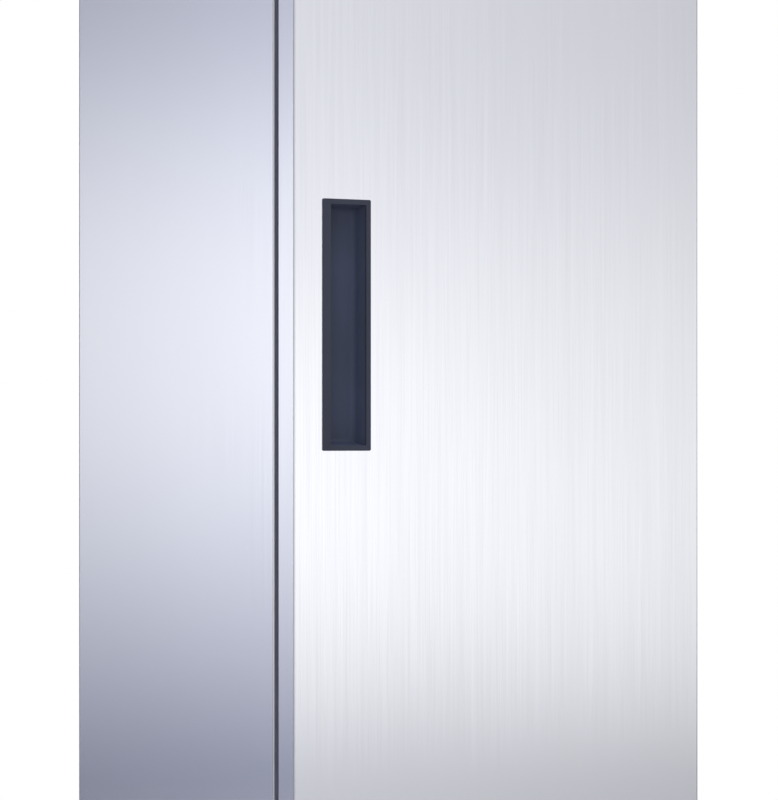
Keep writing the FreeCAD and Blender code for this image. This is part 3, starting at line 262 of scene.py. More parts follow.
finishes = {
    "stainless": brushedSteel("brushed_stainless", {
        "colour": (0.80, 0.805, 0.83), "roughness": 0.21, "grain": 900, "spread": 0.016,
        "depth": 0.000009, "drawn": 0.8}),
    "galvanised_steel": galvanisedSheet("galvanised_sheet", {
        "colour": (0.58, 0.60, 0.62), "roughness": 0.42, "crystal": 0.012}),
    "insulation_foam": moulded("poured_foam", {
        "colour": (0.80, 0.66, 0.38), "roughness": 0.85, "grain": 400, "mottle": 0.12,
        "depth": 0.0006, "shine": 0.2}),
    "liner_aluminium": plainMetal("liner_sheet", {
        "colour": (0.82, 0.83, 0.84), "roughness": 0.40, "rolled": (600, 600, 6)}),
    "breaker_plastic": moulded("breaker_strip", {
        "colour": (0.45, 0.46, 0.48), "roughness": 0.5, "grain": 900, "mottle": 0.05, "depth": 0.00004}),
    "door_liner_plastic": moulded("door_liner_sheet", {
        "colour": (0.83, 0.835, 0.845), "roughness": 0.38, "grain": 500, "mottle": 0.012,
        "depth": 0.00006}),
    "gasket_rubber": moulded("gasket_vinyl", {
        "colour": (0.028, 0.027, 0.042), "roughness": 0.62, "grain": 1200, "mottle": 0.12,
        "depth": 0.00004}),
    "handle_plastic": moulded("handle_moulding", {
        "colour": (0.046, 0.056, 0.096), "roughness": 0.56, "grain": 1100, "mottle": 0.16,
        "depth": 0.00010, "shine": 0.3}),
    "nylon": moulded("nylon_bush", {
        "colour": (0.72, 0.71, 0.66), "roughness": 0.45, "grain": 700, "mottle": 0.04, "depth": 0.00003}),
    "hinge_steel": plainMetal("plated_hinge", {
        "colour": (0.66, 0.665, 0.67), "roughness": 0.33, "rolled": (500, 500, 40)}),
    "pilaster_aluminium": plainMetal("pilaster_sheet", {
        "colour": (0.76, 0.77, 0.78), "roughness": 0.36, "rolled": (900, 900, 8)}),
    "clip_steel": plainMetal("plated_clip", {
        "colour": (0.64, 0.64, 0.61), "roughness": 0.36, "rolled": (500, 500, 500)}),
    "shelf_coating": coated("dipped_wire", {
        "colour": (0.78, 0.79, 0.80), "roughness": 0.32, "peel": 260, "depth": 0.00008, "coat": 0.4}),
    "coil_aluminium": plainMetal("fin_stock", {
        "colour": (0.74, 0.75, 0.76), "roughness": 0.42, "metallic": 0.45, "rolled": (300, 300, 300)}),
    "motor_paint": coated("motor_enamel", {
        "colour": (0.035, 0.035, 0.04), "roughness": 0.42, "peel": 300, "depth": 0.00006}),
    "fan_plastic": moulded("fan_moulding", {
        "colour": (0.03, 0.03, 0.033), "roughness": 0.42, "grain": 800, "mottle": 0.12, "depth": 0.00004}),
    "fan_aluminium": plainMetal("fan_sheet", {
        "colour": (0.68, 0.69, 0.70), "roughness": 0.38, "rolled": (400, 400, 400)}),
    "guard_steel": coated("guard_wire", {
        "colour": (0.70, 0.71, 0.72), "roughness": 0.35, "peel": 300, "depth": 0.00006}),
    "lamp_cover": moulded("frosted_cover", {
        "colour": (0.86, 0.87, 0.88), "roughness": 0.3, "grain": 500, "mottle": 0.02, "depth": 0.00005}),
    "compressor_paint": coated("compressor_enamel", {
        "colour": (0.014, 0.014, 0.016), "roughness": 0.3, "peel": 140, "depth": 0.00015, "coat": 0.5}),
    "shroud_steel": coated("shroud_enamel", {
        "colour": (0.09, 0.09, 0.10), "roughness": 0.45, "peel": 240, "depth": 0.00008}),
    "copper": plainMetal("drawn_copper", {
        "colour": (0.78, 0.40, 0.24), "roughness": 0.34, "rolled": (300, 300, 300)}),
    "box_paint": coated("box_powder_coat", {
        "colour": (0.38, 0.40, 0.42), "roughness": 0.5, "peel": 320, "depth": 0.00010}),
    "inlet_plastic": moulded("inlet_moulding", {
        "colour": (0.018, 0.018, 0.019), "roughness": 0.4, "grain": 800, "mottle": 0.1, "depth": 0.00004}),
    "bezel_plastic": moulded("bezel_moulding", {
        "colour": (0.035, 0.036, 0.04), "roughness": 0.42, "grain": 1400, "mottle": 0.08,
        "depth": 0.00005}),
    "window_plastic": moulded("tinted_window", {
        "colour": (0.020, 0.006, 0.007), "roughness": 0.10, "grain": 60, "mottle": 0.1,
        "depth": 0.00001, "shine": 0.7}),
    "key_plastic": moulded("key_moulding", {
        "colour": (0.30, 0.31, 0.33), "roughness": 0.48, "grain": 1400, "mottle": 0.05,
        "depth": 0.00004}),
    "switch_plastic": moulded("switch_moulding", {
        "colour": (0.016, 0.016, 0.017), "roughness": 0.3, "grain": 900, "mottle": 0.1, "depth": 0.00003}),
    "caster_steel": plainMetal("zinc_plate", {
        "colour": (0.66, 0.67, 0.67), "roughness": 0.36, "rolled": (200, 200, 200)}),
    "wheel_tread": moulded("wheel_tread", {
        "colour": (0.045, 0.045, 0.05), "roughness": 0.6, "grain": 500, "mottle": 0.14,
        "depth": 0.00012}),
    "pedal_steel": coated("pedal_enamel", {
        "colour": (0.03, 0.03, 0.032), "roughness": 0.45, "peel": 300, "depth": 0.00008}),
}

# outside its seal the door's inner sheet is painted grey-blue, as painted shade for the dark gap between
# door and cabinet; in metres
sealGapShade = {"halfWidth": 0.3225, "halfHeight": 0.7725, "middle": 0.983, "edge": 0.0004,
            "colour": (0.40, 0.40, 0.53)}
liner = finishes["door_liner_plastic"].node_tree
linerBase = liner.nodes["Principled BSDF"].inputs["Base Color"]
spot = addNode(liner, "ShaderNodeSeparateXYZ")
plug(liner, patternSpace(liner), spot.inputs["Vector"])
fromSide = sumOf(liner, sumOf(liner, spot.outputs["X"], 0, "ABSOLUTE"), -sealGapShade["halfWidth"])
fromMiddle = sumOf(liner, sumOf(liner, spot.outputs["Z"], -sealGapShade["middle"]), 0, "ABSOLUTE")
fromEnd = sumOf(liner, fromMiddle, -sealGapShade["halfHeight"])
outside = ranged(liner, sumOf(liner, fromSide, fromEnd, "MAXIMUM"), 0, 1, 0, sealGapShade["edge"])
# outside the seal the liner's own colour gives way to the painted shade of the seal gap
plug(liner, tintMix(liner, "MIX", linerBase.links[0].from_socket, sealGapShade["colour"], outside), linerBase)

nodeFinish = {}
for subpart in frame["record"]["subparts"]:
    nodeFinish[subpart["node"]] = subpart["material_slot"]
    cadNode = nodes[subpart["node"]]
    cadNode.data.materials.clear()
    cadNode.data.materials.append(finishes[subpart["material_slot"]])
print("finishes on the nodes:", len(finishes))


# modelling helpers; their sizes and places are in millimetres
def leaveEdit():
    if bpy.context.object and bpy.context.object.mode != "OBJECT":
        bpy.ops.object.mode_set(mode="OBJECT")
    bpy.ops.object.select_all(action="DESELECT")


def takeUp(piece):
    leaveEdit()
    piece.select_set(True)
    bpy.context.view_layer.objects.active = piece


def pickAll():
    bpy.ops.mesh.select_all(action="SELECT")


def openUp(piece, kind="FACE"):
    takeUp(piece)
    bpy.ops.object.mode_set(mode="EDIT")
    bpy.ops.mesh.select_mode(type=kind)
    bpy.ops.mesh.select_all(action="DESELECT")


def settle(piece, name):
    takeUp(piece)
    bpy.ops.object.transform_apply(location=True, rotation=True, scale=True)
    piece.name = name
    return piece


def startBlock(name, low, high):
    leaveEdit()
    bpy.ops.mesh.primitive_cube_add(size=1, location=[(a + b) / 2 * mm for a, b in zip(low, high)])
    piece = bpy.context.object
    piece.scale = [(b - a) * mm for a, b in zip(low, high)]
    return settle(piece, name)


def startRod(name, radius, start, end, sides=32):
    leaveEdit()
    start, end = Vector(start) * mm, Vector(end) * mm
    bpy.ops.mesh.primitive_cylinder_add(
        vertices=sides, radius=radius * mm, depth=(end - start).length, location=(start + end) / 2,
        rotation=(end - start).to_track_quat("Z", "Y").to_euler())
    return settle(bpy.context.object, name)


# true at a place, to within a tenth of a millimetre or the slack given
def at(value, place, slack=0.1):
    return abs(value - place) < slack


# selects the faces, edges or points whose middle and direction pass the test
def pick(piece, test, kind="FACE"):
    bpy.ops.mesh.select_mode(type=kind)
    bpy.ops.mesh.select_all(action="DESELECT")
    shape = bmesh.from_edit_mesh(piece.data)
    shape.normal_update()
    if kind == "FACE":
        for face in shape.faces:
            face.select_set(bool(test(face.calc_center_median() / mm, face.normal)))
    elif kind == "EDGE":
        for edge in shape.edges:
            start, end = (corner.co / mm for corner in edge.verts)
            edge.select_set(bool(test((start + end) / 2, (end - start).normalized())))
    else:
        for corner in shape.verts:
            corner.select_set(bool(test(corner.co / mm, corner.normal)))
    bmesh.update_edit_mesh(piece.data)


# of the points already picked, keeps those that pass the test
def narrow(piece, test):
    bpy.ops.mesh.select_mode(type="VERT")
    shape = bmesh.from_edit_mesh(piece.data)
    for corner in shape.verts:
        if corner.select and not test(corner.co / mm):
            corner.select_set(False)
    bmesh.update_edit_mesh(piece.data)


def push(x=0, y=0, z=0):
    bpy.ops.transform.translate(value=(x * mm, y * mm, z * mm))


def pull(x=0, y=0, z=0):
    bpy.ops.mesh.extrude_region_move(TRANSFORM_OT_translate={"value": (x * mm, y * mm, z * mm)})


def shrink(width):
    bpy.ops.mesh.inset(thickness=width * mm, use_even_offset=True)


def roundPicked(width, segments=3):
    bpy.ops.mesh.bevel(offset=width * mm, segments=segments, affect="EDGES")


def closeUp(piece):
    openUp(piece, "VERT")
    pickAll()
    bpy.ops.mesh.remove_doubles(threshold=weldGap)
    bpy.ops.mesh.normals_make_consistent(inside=False)
    leaveEdit()
    return piece


def modified(piece, kind, **values):
    takeUp(piece)
    step = piece.modifiers.new(kind.lower(), kind)
    for key, value in values.items():
        setattr(step, key, value)
    bpy.ops.object.modifier_apply(modifier=step.name)
    return piece


def repeated(piece, count, step, **values):
    return modified(piece, "ARRAY", count=count, use_relative_offset=False, use_constant_offset=True,
                    constant_offset_displace=[part * mm for part in step], **values)


def thickened(piece, thickness, offset=0):
    return modified(piece, "SOLIDIFY", thickness=thickness * mm, offset=offset)


def eased(piece, width, segments=2, angle=40):
    return modified(piece, "BEVEL", width=width * mm, segments=segments, limit_method="ANGLE",
                    angle_limit=math.radians(angle))


# flat plate with round corners and eased edges
def roundedPlate(name, low, high, corner, segments):
    plate = startBlock(name, low, high)
    openUp(plate)
    pick(plate, lambda c, n: abs(n.z) > 0.9, "EDGE")
    roundPicked(corner, segments)
    return eased(plate, 0.5, 2)


# one point drawn out from place to place
def drawn(name, points):
    leaveEdit()
    bpy.ops.mesh.primitive_plane_add(size=2 * mm, location=Vector(points[0]) * mm)
    piece = settle(bpy.context.object, name)
    openUp(piece, "VERT")
    pickAll()
    bpy.ops.mesh.merge(type="CENTER")
    for before, after in zip(points, points[1:]):
        pull(*(Vector(after) - Vector(before)))
    return piece


# half a section, as (radius, along) points, spun round an axis through a place
def spun(name, outline, place, axis, steps=48):
    along = Vector(axis)
    across = Vector((0, 0, 1)) if abs(along.z) < 0.5 else Vector((1, 0, 0))
    piece = drawn(name, [Vector(place) + along * far + across * radius for radius, far in outline])
    pickAll()
    bpy.ops.mesh.remove_doubles(threshold=weldGap)
    bpy.ops.mesh.spin(steps=steps, angle=math.radians(360), center=Vector(place) * mm, axis=along)
    return closeUp(piece)


# a section of (inward, away) points carried round a rectangle, with mitred corners
def ringRound(name, outline, low, high, backY):
    points = [Vector((low[0] + inward, backY + away, low[2] + inward)) for inward, away in outline]
    piece = drawn(name, points + points[:1])
    middle = ((low[0] + high[0]) / 2 * mm, 0, (low[2] + high[2]) / 2 * mm)
    pickAll()
    for stretch in ((-1, 1, 1), (1, 1, -1), (-1, 1, 1), (1, 1, -1)):
        pull()
        bpy.ops.transform.resize(value=stretch, center_override=middle)
    return closeUp(piece)


# round tube along straight runs with a smooth bend at each corner
def bentTube(name, points, radius, bend, closed=False, fineness=5, roundness=6):
    corners = [Vector(point) for point in points]
    leaveEdit()
    bpy.ops.curve.primitive_bezier_curve_add(location=(0, 0, 0))
    piece = bpy.context.object
    line = piece.data
    line.splines.clear()
    knots = []
    last = len(corners) - 1
    for index, corner in enumerate(corners):
        if not closed and index in (0, last):
            knots.append((corner, corner, corner))
            continue
        before = (corners[index - 1] - corner).normalized()
        after = (corners[(index + 1) % len(corners)] - corner).normalized()
        turn = math.pi - before.angle(after)
        reach = bend * math.tan(turn / 2)
        grip = 4 / 3 * math.tan(turn / 4) * bend
        start, end = corner + before * reach, corner + after * reach
        knots.append((start + before * grip * 0.5, start, start - before * grip))
        knots.append((end - after * grip, end, end + after * grip * 0.5))
    spline = line.splines.new("BEZIER")
    spline.bezier_points.add(len(knots) - 1)
    for point, (left, middle, right) in zip(spline.bezier_points, knots):
        point.handle_left_type = point.handle_right_type = "FREE"
        point.co, point.handle_left, point.handle_right = middle * mm, left * mm, right * mm
    spline.use_cyclic_u = closed
    line.dimensions = "3D"
    line.fill_mode = "FULL"
    line.resolution_u = fineness
    line.bevel_depth = radius * mm
    line.bevel_resolution = roundness
    line.use_fill_caps = not closed
    takeUp(piece)
    bpy.ops.object.convert(target="MESH")
    return closeUp(settle(bpy.context.object, name))


def copyOf(piece, name, by=(0, 0, 0), turn=(0, 0, 0)):
    takeUp(piece)
    bpy.ops.object.duplicate(linked=False)
    twin = bpy.context.object
    twin.rotation_euler = [math.radians(part) for part in turn]
    twin.location = Vector(by) * mm
    return settle(twin, name)


def joined(name, pieces):
    leaveEdit()
    for piece in pieces:
        piece.select_set(True)
    bpy.context.view_layer.objects.active = pieces[0]
    bpy.ops.object.join()
    pieces[0].name = name
    return pieces[0]


# a merged copy of a CAD node, with its flat faces joined up
def copyOfNode(node, name):
    leaveEdit()
    piece = bpy.data.objects.new(name, nodes[node].data.copy())
    bpy.context.collection.objects.link(piece)
    openUp(piece, "VERT")
    if piece.data.has_custom_normals:
        bpy.ops.mesh.customdata_custom_splitnormals_clear()
    pickAll()
    bpy.ops.mesh.remove_doubles(threshold=weldGap / 2)
    bpy.ops.mesh.dissolve_limited(angle_limit=math.radians(1))
    leaveEdit()
    return piece


def placeOf(node):
    low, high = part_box(node)
    return Vector(low) / mm, Vector(high) / mm


def dress(piece, body, finish, *standsFor, angle=35):
    piece.data.materials.clear()
    piece.data.materials.append(finishes[finish])
    takeUp(piece)
    bpy.ops.object.shade_smooth_by_angle(angle=math.radians(angle))
    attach(piece, body)
    if standsFor:
        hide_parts(*standsFor)
    leaveEdit()
    return piece


# a CAD node as it is, with its edges eased
def easedNode(node, name, body, finish, width, segments=2, angle=40):
    return dress(eased(copyOfNode(node, name), width, segments, angle), body, finish, node)


# recessed handle: proud frame, rounded mouth, undercut behind the finger side, round floor
handle = {"proud": 2.0, "border": 7.5, "lip": 5.0, "lipDepth": 4.0, "undercut": 8.0, "wall": 2.0,
          "floorRound": 8.0, "draft": 5.0, "mouthRound": 2.2, "edgeRound": 0.8,
          "trim": {"colour": (0.031, 0.036, 0.056), "roughness": 0.5, "grain": 1100, "mottle": 0.14,
                   "depth": 0.00008, "shine": 0.3}}
low, high = placeOf("handle_recess")
middle = (low + high) / 2
seatY = low.y + handle["proud"]
lipY = low.y + handle["lipDepth"]
floorY = high.y - handle["wall"]
shell = handle["border"] - handle["wall"]
moulding = startBlock("handle_moulding", low, (high.x, seatY, high.z))
openUp(moulding)
pick(moulding, lambda c, n: n.y > 0.9)          # the tub's outside, behind the frame
shrink(shell)
pick(moulding, lambda c, n: at(c.y, seatY) and at(c.x, low.x + shell, 1), "VERT")
push(x=handle["lip"] - handle["undercut"])
pick(moulding, lambda c, n: n.y > 0.9 and at(c.z, middle.z, 1) and at(c.x, middle.x, shell))
pull(y=high.y - seatY)
pick(moulding, lambda c, n: n.y < -0.9)         # the mouth, then the undercut and the inside
shrink(handle["border"])
pick(moulding, lambda c, n: at(c.y, low.y) and at(c.x, low.x + handle["border"], 1), "VERT")
push(x=handle["lip"])
pick(moulding, lambda c, n: n.y < -0.9 and at(c.z, middle.z, 1) and at(c.x, middle.x, shell))
pull(y=handle["lipDepth"])
pull()
narrow(moulding, lambda c: c.x < middle.x)
push(x=-handle["undercut"])
pick(moulding, lambda c, n: n.y < -0.9 and at(c.y, lipY))
pull(y=floorY - lipY)
for test, shift in ((lambda c: c.x > middle.x, (-handle["draft"], 0, 0)),
                    (lambda c: c.z > middle.z, (0, 0, -handle["draft"])),
                    (lambda c: c.z < middle.z, (0, 0, handle["draft"]))):
    pick(moulding, lambda c, n: n.y < -0.9 and at(c.y, floorY))
    narrow(moulding, test)
    push(*shift)
pick(moulding, lambda c, n: at(c.y, high.y), "EDGE")
roundPicked(handle["floorRound"] + handle["wall"] / 2, 5)
pick(moulding, lambda c, n: at(c.y, floorY) and at(n.y, 0), "EDGE")
roundPicked(handle["floorRound"], 5)
pick(moulding, lambda c, n: abs(n.y) > 0.9 and at(c.y, (low.y + lipY) / 2, 0.3), "EDGE")
roundPicked(handle["mouthRound"], 4)
pick(moulding, lambda c, n: abs(n.y) > 0.9 and at(c.y, (low.y + seatY) / 2)
     and (at(c.x, low.x) or at(c.x, high.x)), "EDGE")
roundPicked(handle["mouthRound"], 4)
eased(moulding, handle["edgeRound"], 3, 50)
dress(moulding, "door", "handle_plastic", "handle_recess")
moulding.data.materials.append(moulded("handle_trim", handle["trim"]))
openUp(moulding)
pick(moulding, lambda c, n: c.y < lipY - 0.2)
moulding.active_material_index = 1
bpy.ops.object.material_slot_assign()
leaveEdit()

# door seal: dart base, three folds of bellows and the magnet head
gasket = {"outline": [(0, 0), (24, 0), (24, 1.4), (21.5, 3), (17.6, 3.2), (16, 4.8), (18.4, 6.4), (16, 8.0),
                      (18.4, 9.6), (17.2, 11.2), (19.2, 11.9), (20, 13), (20, 17.2), (19, 18.2), (5, 18.2),
                      (4, 17.2), (4, 13), (4.8, 11.9), (6.8, 11.2), (5.6, 9.6), (8, 8.0), (5.6, 6.4),
                      (8, 4.8), (6.4, 3.2), (2.5, 3), (0, 1.4)]}
low, high = placeOf("door_gasket")
seal = ringRound("door_seal", gasket["outline"], low, high, low.y)
dress(seal, "door", "gasket_rubber", "door_gasket", angle=50)
print("door pieces made")

# caster wheels: round tread over a ribbed hub
wheel = {
    "tread": [(47, -12.5), (49, -15), (57.5, -15), (60.6, -13.6), (62.1, -10.8), (62.5, -7), (62.5, 7),
              (62.1, 10.8), (60.6, 13.6), (57.5, 15), (49, 15), (47, 12.5), (47, -12.5)],
    "hub": [(4.05, -15), (12.5, -15), (14.2, -13.8), (16, -8), (19, -4), (40, -4), (43.5, -7),
            (45.2, -12.8), (47.2, -12.8), (47.2, 12.8), (45.2, 12.8), (43.5, 7), (40, 4), (19, 4),
            (16, 8), (14.2, 13.8), (12.5, 15), (4.05, 15), (4.05, -15)],
    "ribs": 6, "ribHalf": (11, 1.5), "ribFrom": 13, "ribTo": 45, "ribFlare": 1.06,
}
places = ["front_left", "front_right", "rear_left", "rear_right"]
low, high = placeOf("caster_wheel_front_left")
hubPlace = (low + high) / 2
halfX, halfY = wheel["ribHalf"]
rib = startBlock("rib", (-halfX, -halfY, wheel["ribFrom"]), (halfX, halfY, wheel["ribTo"]))
openUp(rib)
pick(rib, lambda c, n: n.z > 0.9)
bpy.ops.transform.resize(value=(wheel["ribFlare"], 1, 1), center_override=(0, 0, 0))
eased(rib, 0.7, 2)
ribs = [copyOf(rib, "rib_%d" % number, hubPlace, (360 / wheel["ribs"] * number, 0, 0))
        for number in range(wheel["ribs"])]
bpy.data.objects.remove(rib)
tread = spun("tread_front_left", wheel["tread"], hubPlace, (1, 0, 0), 72)
hub = joined("hub_front_left", [spun("hub", wheel["hub"], hubPlace, (1, 0, 0))] + ribs)
for place in places:
    low, high = placeOf("caster_wheel_" + place)
    shift = (low + high) / 2 - hubPlace
    for master, name, finish in ((tread, "tread_", "wheel_tread"), (hub, "hub_", "nylon")):
        piece = master if place == places[0] else copyOf(master, name + place, shift)
        dress(piece, "wheel_" + place, finish, "caster_wheel_" + place)

# pressed forks and foot levers, with the rolled edges of thick sheet
for place in places:
    easedNode("caster_fork_" + place, "fork_" + place, "caster_" + place, "caster_steel", 0.9, 3, 50)
    if place.startswith("front"):
        easedNode("brake_pedal_" + place, "foot_lever_" + place, "pedal_" + place, "pedal_steel",
                  1.0, 3, 30)

# caster plates: corner-rounded plate, swivel race, kingpin and nut
mount = {"halfX": 42, "halfY": 46, "low": 153, "high": 157, "corner": 9, "trail": 36, "kingpin": 6,
         "race": [(6, 153), (29, 153), (28, 150.8), (26.2, 149.6), (25.6, 145), (24.4, 142.5), (21, 142),
                  (6, 142), (6, 153)],
         "pinTop": 143, "nut": 11.5, "nutLow": 130.9, "nutHigh": 137.9}
kingpins = []
for place in places:
    low, high = placeOf("caster_wheel_" + place)
    kingpins.append(Vector(((low.x + high.x) / 2, (low.y + high.y) / 2 + mount["trail"], 0)))
plate = roundedPlate("caster_mount", (-mount["halfX"], -mount["halfY"], mount["low"]),
                     (mount["halfX"], mount["halfY"], mount["high"]), mount["corner"], 6)
race = spun("race", mount["race"], (0, 0, 0), (0, 0, 1))
pin = eased(startRod("kingpin", mount["kingpin"], (0, 0, mount["nutLow"] - 2), (0, 0, mount["pinTop"]), 24),
            0.8)
nut = eased(startRod("nut", mount["nut"], (0, 0, mount["nutLow"]), (0, 0, mount["nutHigh"]), 6), 0.9)
master = joined("caster_mount", [plate, race, pin, nut])
mounts = [copyOf(master, "mount", kingpin) for kingpin in kingpins]
bpy.data.objects.remove(master)
dress(joined("caster_mounts", mounts), "cabinet", "caster_steel", "caster_plates")
print("casters made")


# wire shelves: round frame rods, cross rods and deck wires with eased ends
shelf = {"rod": 3.5, "corner": 13, "crossRods": 3, "wire": 2.0, "wirePitch": 26, "wires": 20}
low, high = placeOf("shelf_lower")
rod = shelf["rod"]
rodZ = high.z - 2 * shelf["wire"] - rod
leftX, rightX, frontY, backY = low.x + rod, high.x - rod, low.y + rod, high.y - rod
parts = [bentTube("loop", [(leftX, frontY, rodZ), (rightX, frontY, rodZ), (rightX, backY, rodZ),
                           (leftX, backY, rodZ)], rod, shelf["corner"], closed=True, roundness=4)]
for number in range(shelf["crossRods"]):
    rodY = low.y + (high.y - low.y) * (number + 1) / (shelf["crossRods"] + 1)
    parts.append(startRod("cross", rod, (leftX, rodY, rodZ), (rightX, rodY, rodZ), 12))
wireZ = high.z - shelf["wire"]
firstX = -(shelf["wires"] - 1) * shelf["wirePitch"] / 2
wire = startRod("wire", shelf["wire"], (firstX, low.y, wireZ), (firstX, high.y, wireZ), 10)
openUp(wire)
pick(wire, lambda c, n: abs(n.y) > 0.9)
roundPicked(0.9, 2)
repeated(wire, shelf["wires"], (shelf["wirePitch"], 0, 0))
lowerShelf = joined("wire_shelf_lower", parts + [wire])
for level in ("middle", "upper"):
    rise = placeOf("shelf_" + level)[1].z - high.z
    dress(copyOf(lowerShelf, "wire_shelf_" + level, (0, 0, rise)), "cabinet", "shelf_coating",
          "shelf_" + level)
dress(lowerShelf, "cabinet", "shelf_coating", "shelf_lower")

# shelf standards: one slotted length of strip, folded into a channel
standard = {"width": 18, "fold": 10, "sheet": 1.5, "slotWidth": 8, "slotHeight": 14, "pitch": 26.75,
            "firstSlot": 366.5, "slots": 47}
low, high = placeOf("shelf_pilasters")
webX = high.x - standard["fold"]
frontY = low.y + standard["width"] / 2
# the strip starts a whole cell below the first slot's own
bottomZ = standard["firstSlot"] - (3 * standard["pitch"] - standard["slotHeight"]) / 2
topZ = bottomZ + standard["pitch"] * standard["slots"]
cell = Vector((webX, frontY, bottomZ + standard["pitch"] / 2)) * mm
leaveEdit()
bpy.ops.mesh.primitive_plane_add(size=1, location=cell, rotation=(0, math.radians(-90), 0))
channel = bpy.context.object
channel.scale = (standard["pitch"] * mm, standard["width"] * mm, 1)
settle(channel, "standard")
openUp(channel)
pickAll()
shrink((standard["width"] - standard["slotWidth"]) / 2)
slotNow = standard["pitch"] - standard["width"] + standard["slotWidth"]
bpy.ops.transform.resize(value=(1, 1, standard["slotHeight"] / slotNow), center_override=cell)
bpy.ops.mesh.delete(type="FACE")
repeated(channel, standard["slots"], (0, 0, standard["pitch"]), use_merge_vertices=True,
         merge_threshold=weldGap)
openUp(channel, "EDGE")
for endZ, reach in ((bottomZ, low.z - bottomZ), (topZ, high.z - topZ)):
    pick(channel, lambda c, n: at(c.z, endZ), "EDGE")
    pull(z=reach)
pick(channel, lambda c, n: at(abs(c.y - frontY), standard["width"] / 2), "EDGE")
pull(x=standard["fold"])
closeUp(channel)
thickened(channel, standard["sheet"], -1)
standards = [channel, copyOf(channel, "standard_back", (0, high.y - low.y - standard["width"], 0))]
for piece in standards[:]:
    twin = copyOf(piece, piece.name + "_left")
    twin.scale = (-1, 1, 1)
    standards.append(closeUp(settle(twin, twin.name)))
dress(joined("shelf_standards", standards), "cabinet", "pilaster_aluminium", "shelf_pilasters")
easedNode("shelf_clips", "clip_set", "cabinet", "clip_steel", 0.5)
print("shelving made")

# hexagon flange bolts on the hinge leaves and caster plates
bolt = {"cornerRadius": 6.3, "height": 4.5, "flange": [(0, 0), (7.2, 0), (7.2, 0.7), (6.2, 1.4), (0, 1.4)],
        "hingeX": (270, 298, 326), "fromLeafEdge": 12, "leaf": 4, "plateX": 33, "plateY": 37}
head = startRod("head", bolt["cornerRadius"], (0, 0, 1.2), (0, 0, bolt["height"]), 6)
openUp(head)
pick(head, lambda c, n: n.z > 0.9)
roundPicked(0.8, 2)
head = joined("head", [head, spun("flange", bolt["flange"], (0, 0, 0), (0, 0, 1), 24)])
boltPlaces = []
for end in ("top", "bottom"):
    low, high = placeOf(end + "_hinge_bracket")
    leafZ = high.z - bolt["fromLeafEdge"] if end == "top" else low.z + bolt["fromLeafEdge"]
    boltPlaces += [((x, high.y - bolt["leaf"], leafZ), (90, 0, 0)) for x in bolt["hingeX"]]
for kingpin in kingpins:
    for stepX in (-bolt["plateX"], bolt["plateX"]):
        for stepY in (-bolt["plateY"], bolt["plateY"]):
            boltPlaces.append((kingpin + Vector((stepX, stepY, mount["low"])), (180, 0, 0)))
bolts = [copyOf(head, "bolt", spot, turn) for spot, turn in boltPlaces]
bpy.data.objects.remove(head)
dress(joined("hex_bolts", bolts), "cabinet", "hinge_steel", "mounting_bolts")
for end in ("top", "bottom"):
    easedNode(end + "_hinge_bracket", end + "_hinge_plate", "cabinet", "hinge_steel", 0.7, 3)

# fans: a hollow hub and four twisted blades with rounded tips
fan = {"hub": [(3.05, 0), (12, 0), (19, 1.5), (21.6, 4.5), (22, 8), (22, 18), (19.5, 18), (19.5, 8),
               (8, 5), (7, 18), (3.05, 18), (3.05, 0)],
       "halfHub": 9, "root": 20, "rings": 7, "sweep": 41, "lead": 22.4, "pitch": 28, "twist": 9,
       "camber": 2.2, "camberStep": 5, "thick": 1.6, "tipRound": 9, "blades": 4}


def fanOf(name, node, body, finish):
    low, high = placeOf(node)
    tip = (high.x - low.x) / 2
    step = (tip - fan["root"]) / fan["rings"]
    radii = [fan["root"] + step * number for number in range(fan["rings"] + 1)]
    blade = drawn("blade", [(radius, 0, 0) for radius in radii])
    pickAll()
    bpy.ops.mesh.spin(steps=8, angle=math.radians(fan["sweep"]), center=(0, 0, 0), axis=(0, 0, 1))
    closeUp(blade)
    blade.rotation_euler.z = math.radians(fan["lead"]) - max(
        math.atan2(corner.co.y, corner.co.x) for corner in blade.data.vertices)
    settle(blade, "blade")
    openUp(blade, "VERT")
    middle = fan["lead"] - fan["sweep"] / 2             # the blade's own middle line, in degrees

    def fromMiddle(c):
        return abs(math.degrees(math.atan2(c.y, c.x)) - middle)

    pick(blade, lambda c, n: c.xy.length > tip - 0.1 and at(fromMiddle(c), fan["sweep"] / 2, 0.5), "VERT")
    bpy.ops.mesh.bevel(offset=fan["tipRound"] * mm, segments=4, affect="VERTICES")
    for ring in range(1, 4):
        pick(blade, lambda c, n: fromMiddle(c) < fan["sweep"] / 2 - ring * fan["camberStep"], "VERT")
        push(z=-fan["camber"] / ring)
    for inner, outer in zip(radii, radii[1:]):
        pick(blade, lambda c, n: c.xy.length < (inner + outer) / 2, "VERT")
        bpy.ops.transform.rotate(value=-math.radians(fan["twist"] / fan["rings"]), orient_axis="X",
                                 center_override=(0, 0, 0))
    leaveEdit()
    blade.rotation_euler.x = math.radians(fan["pitch"])
    blade.location.z = fan["halfHub"] * mm
    eased(thickened(settle(blade, "blade"), fan["thick"]), 0.5)
    blades = [copyOf(blade, "blade", turn=(0, 0, 360 / fan["blades"] * number))
              for number in range(fan["blades"])]
    bpy.data.objects.remove(blade)
    piece = joined(name, [spun("hub", fan["hub"], (0, 0, 0), (0, 0, 1), 40)] + blades)
    piece.rotation_euler.x = math.radians(-90)
    piece.location = ((low + high) / 2 - Vector((0, fan["halfHub"], 0))) * mm
    return dress(settle(piece, name), body, finish, node)


fanOf("cold_fan", "evaporator_fan_blade", "evaporator_fan", "fan_plastic")
fanOf("warm_fan", "condenser_fan_blade", "condenser_fan", "fan_aluminium")

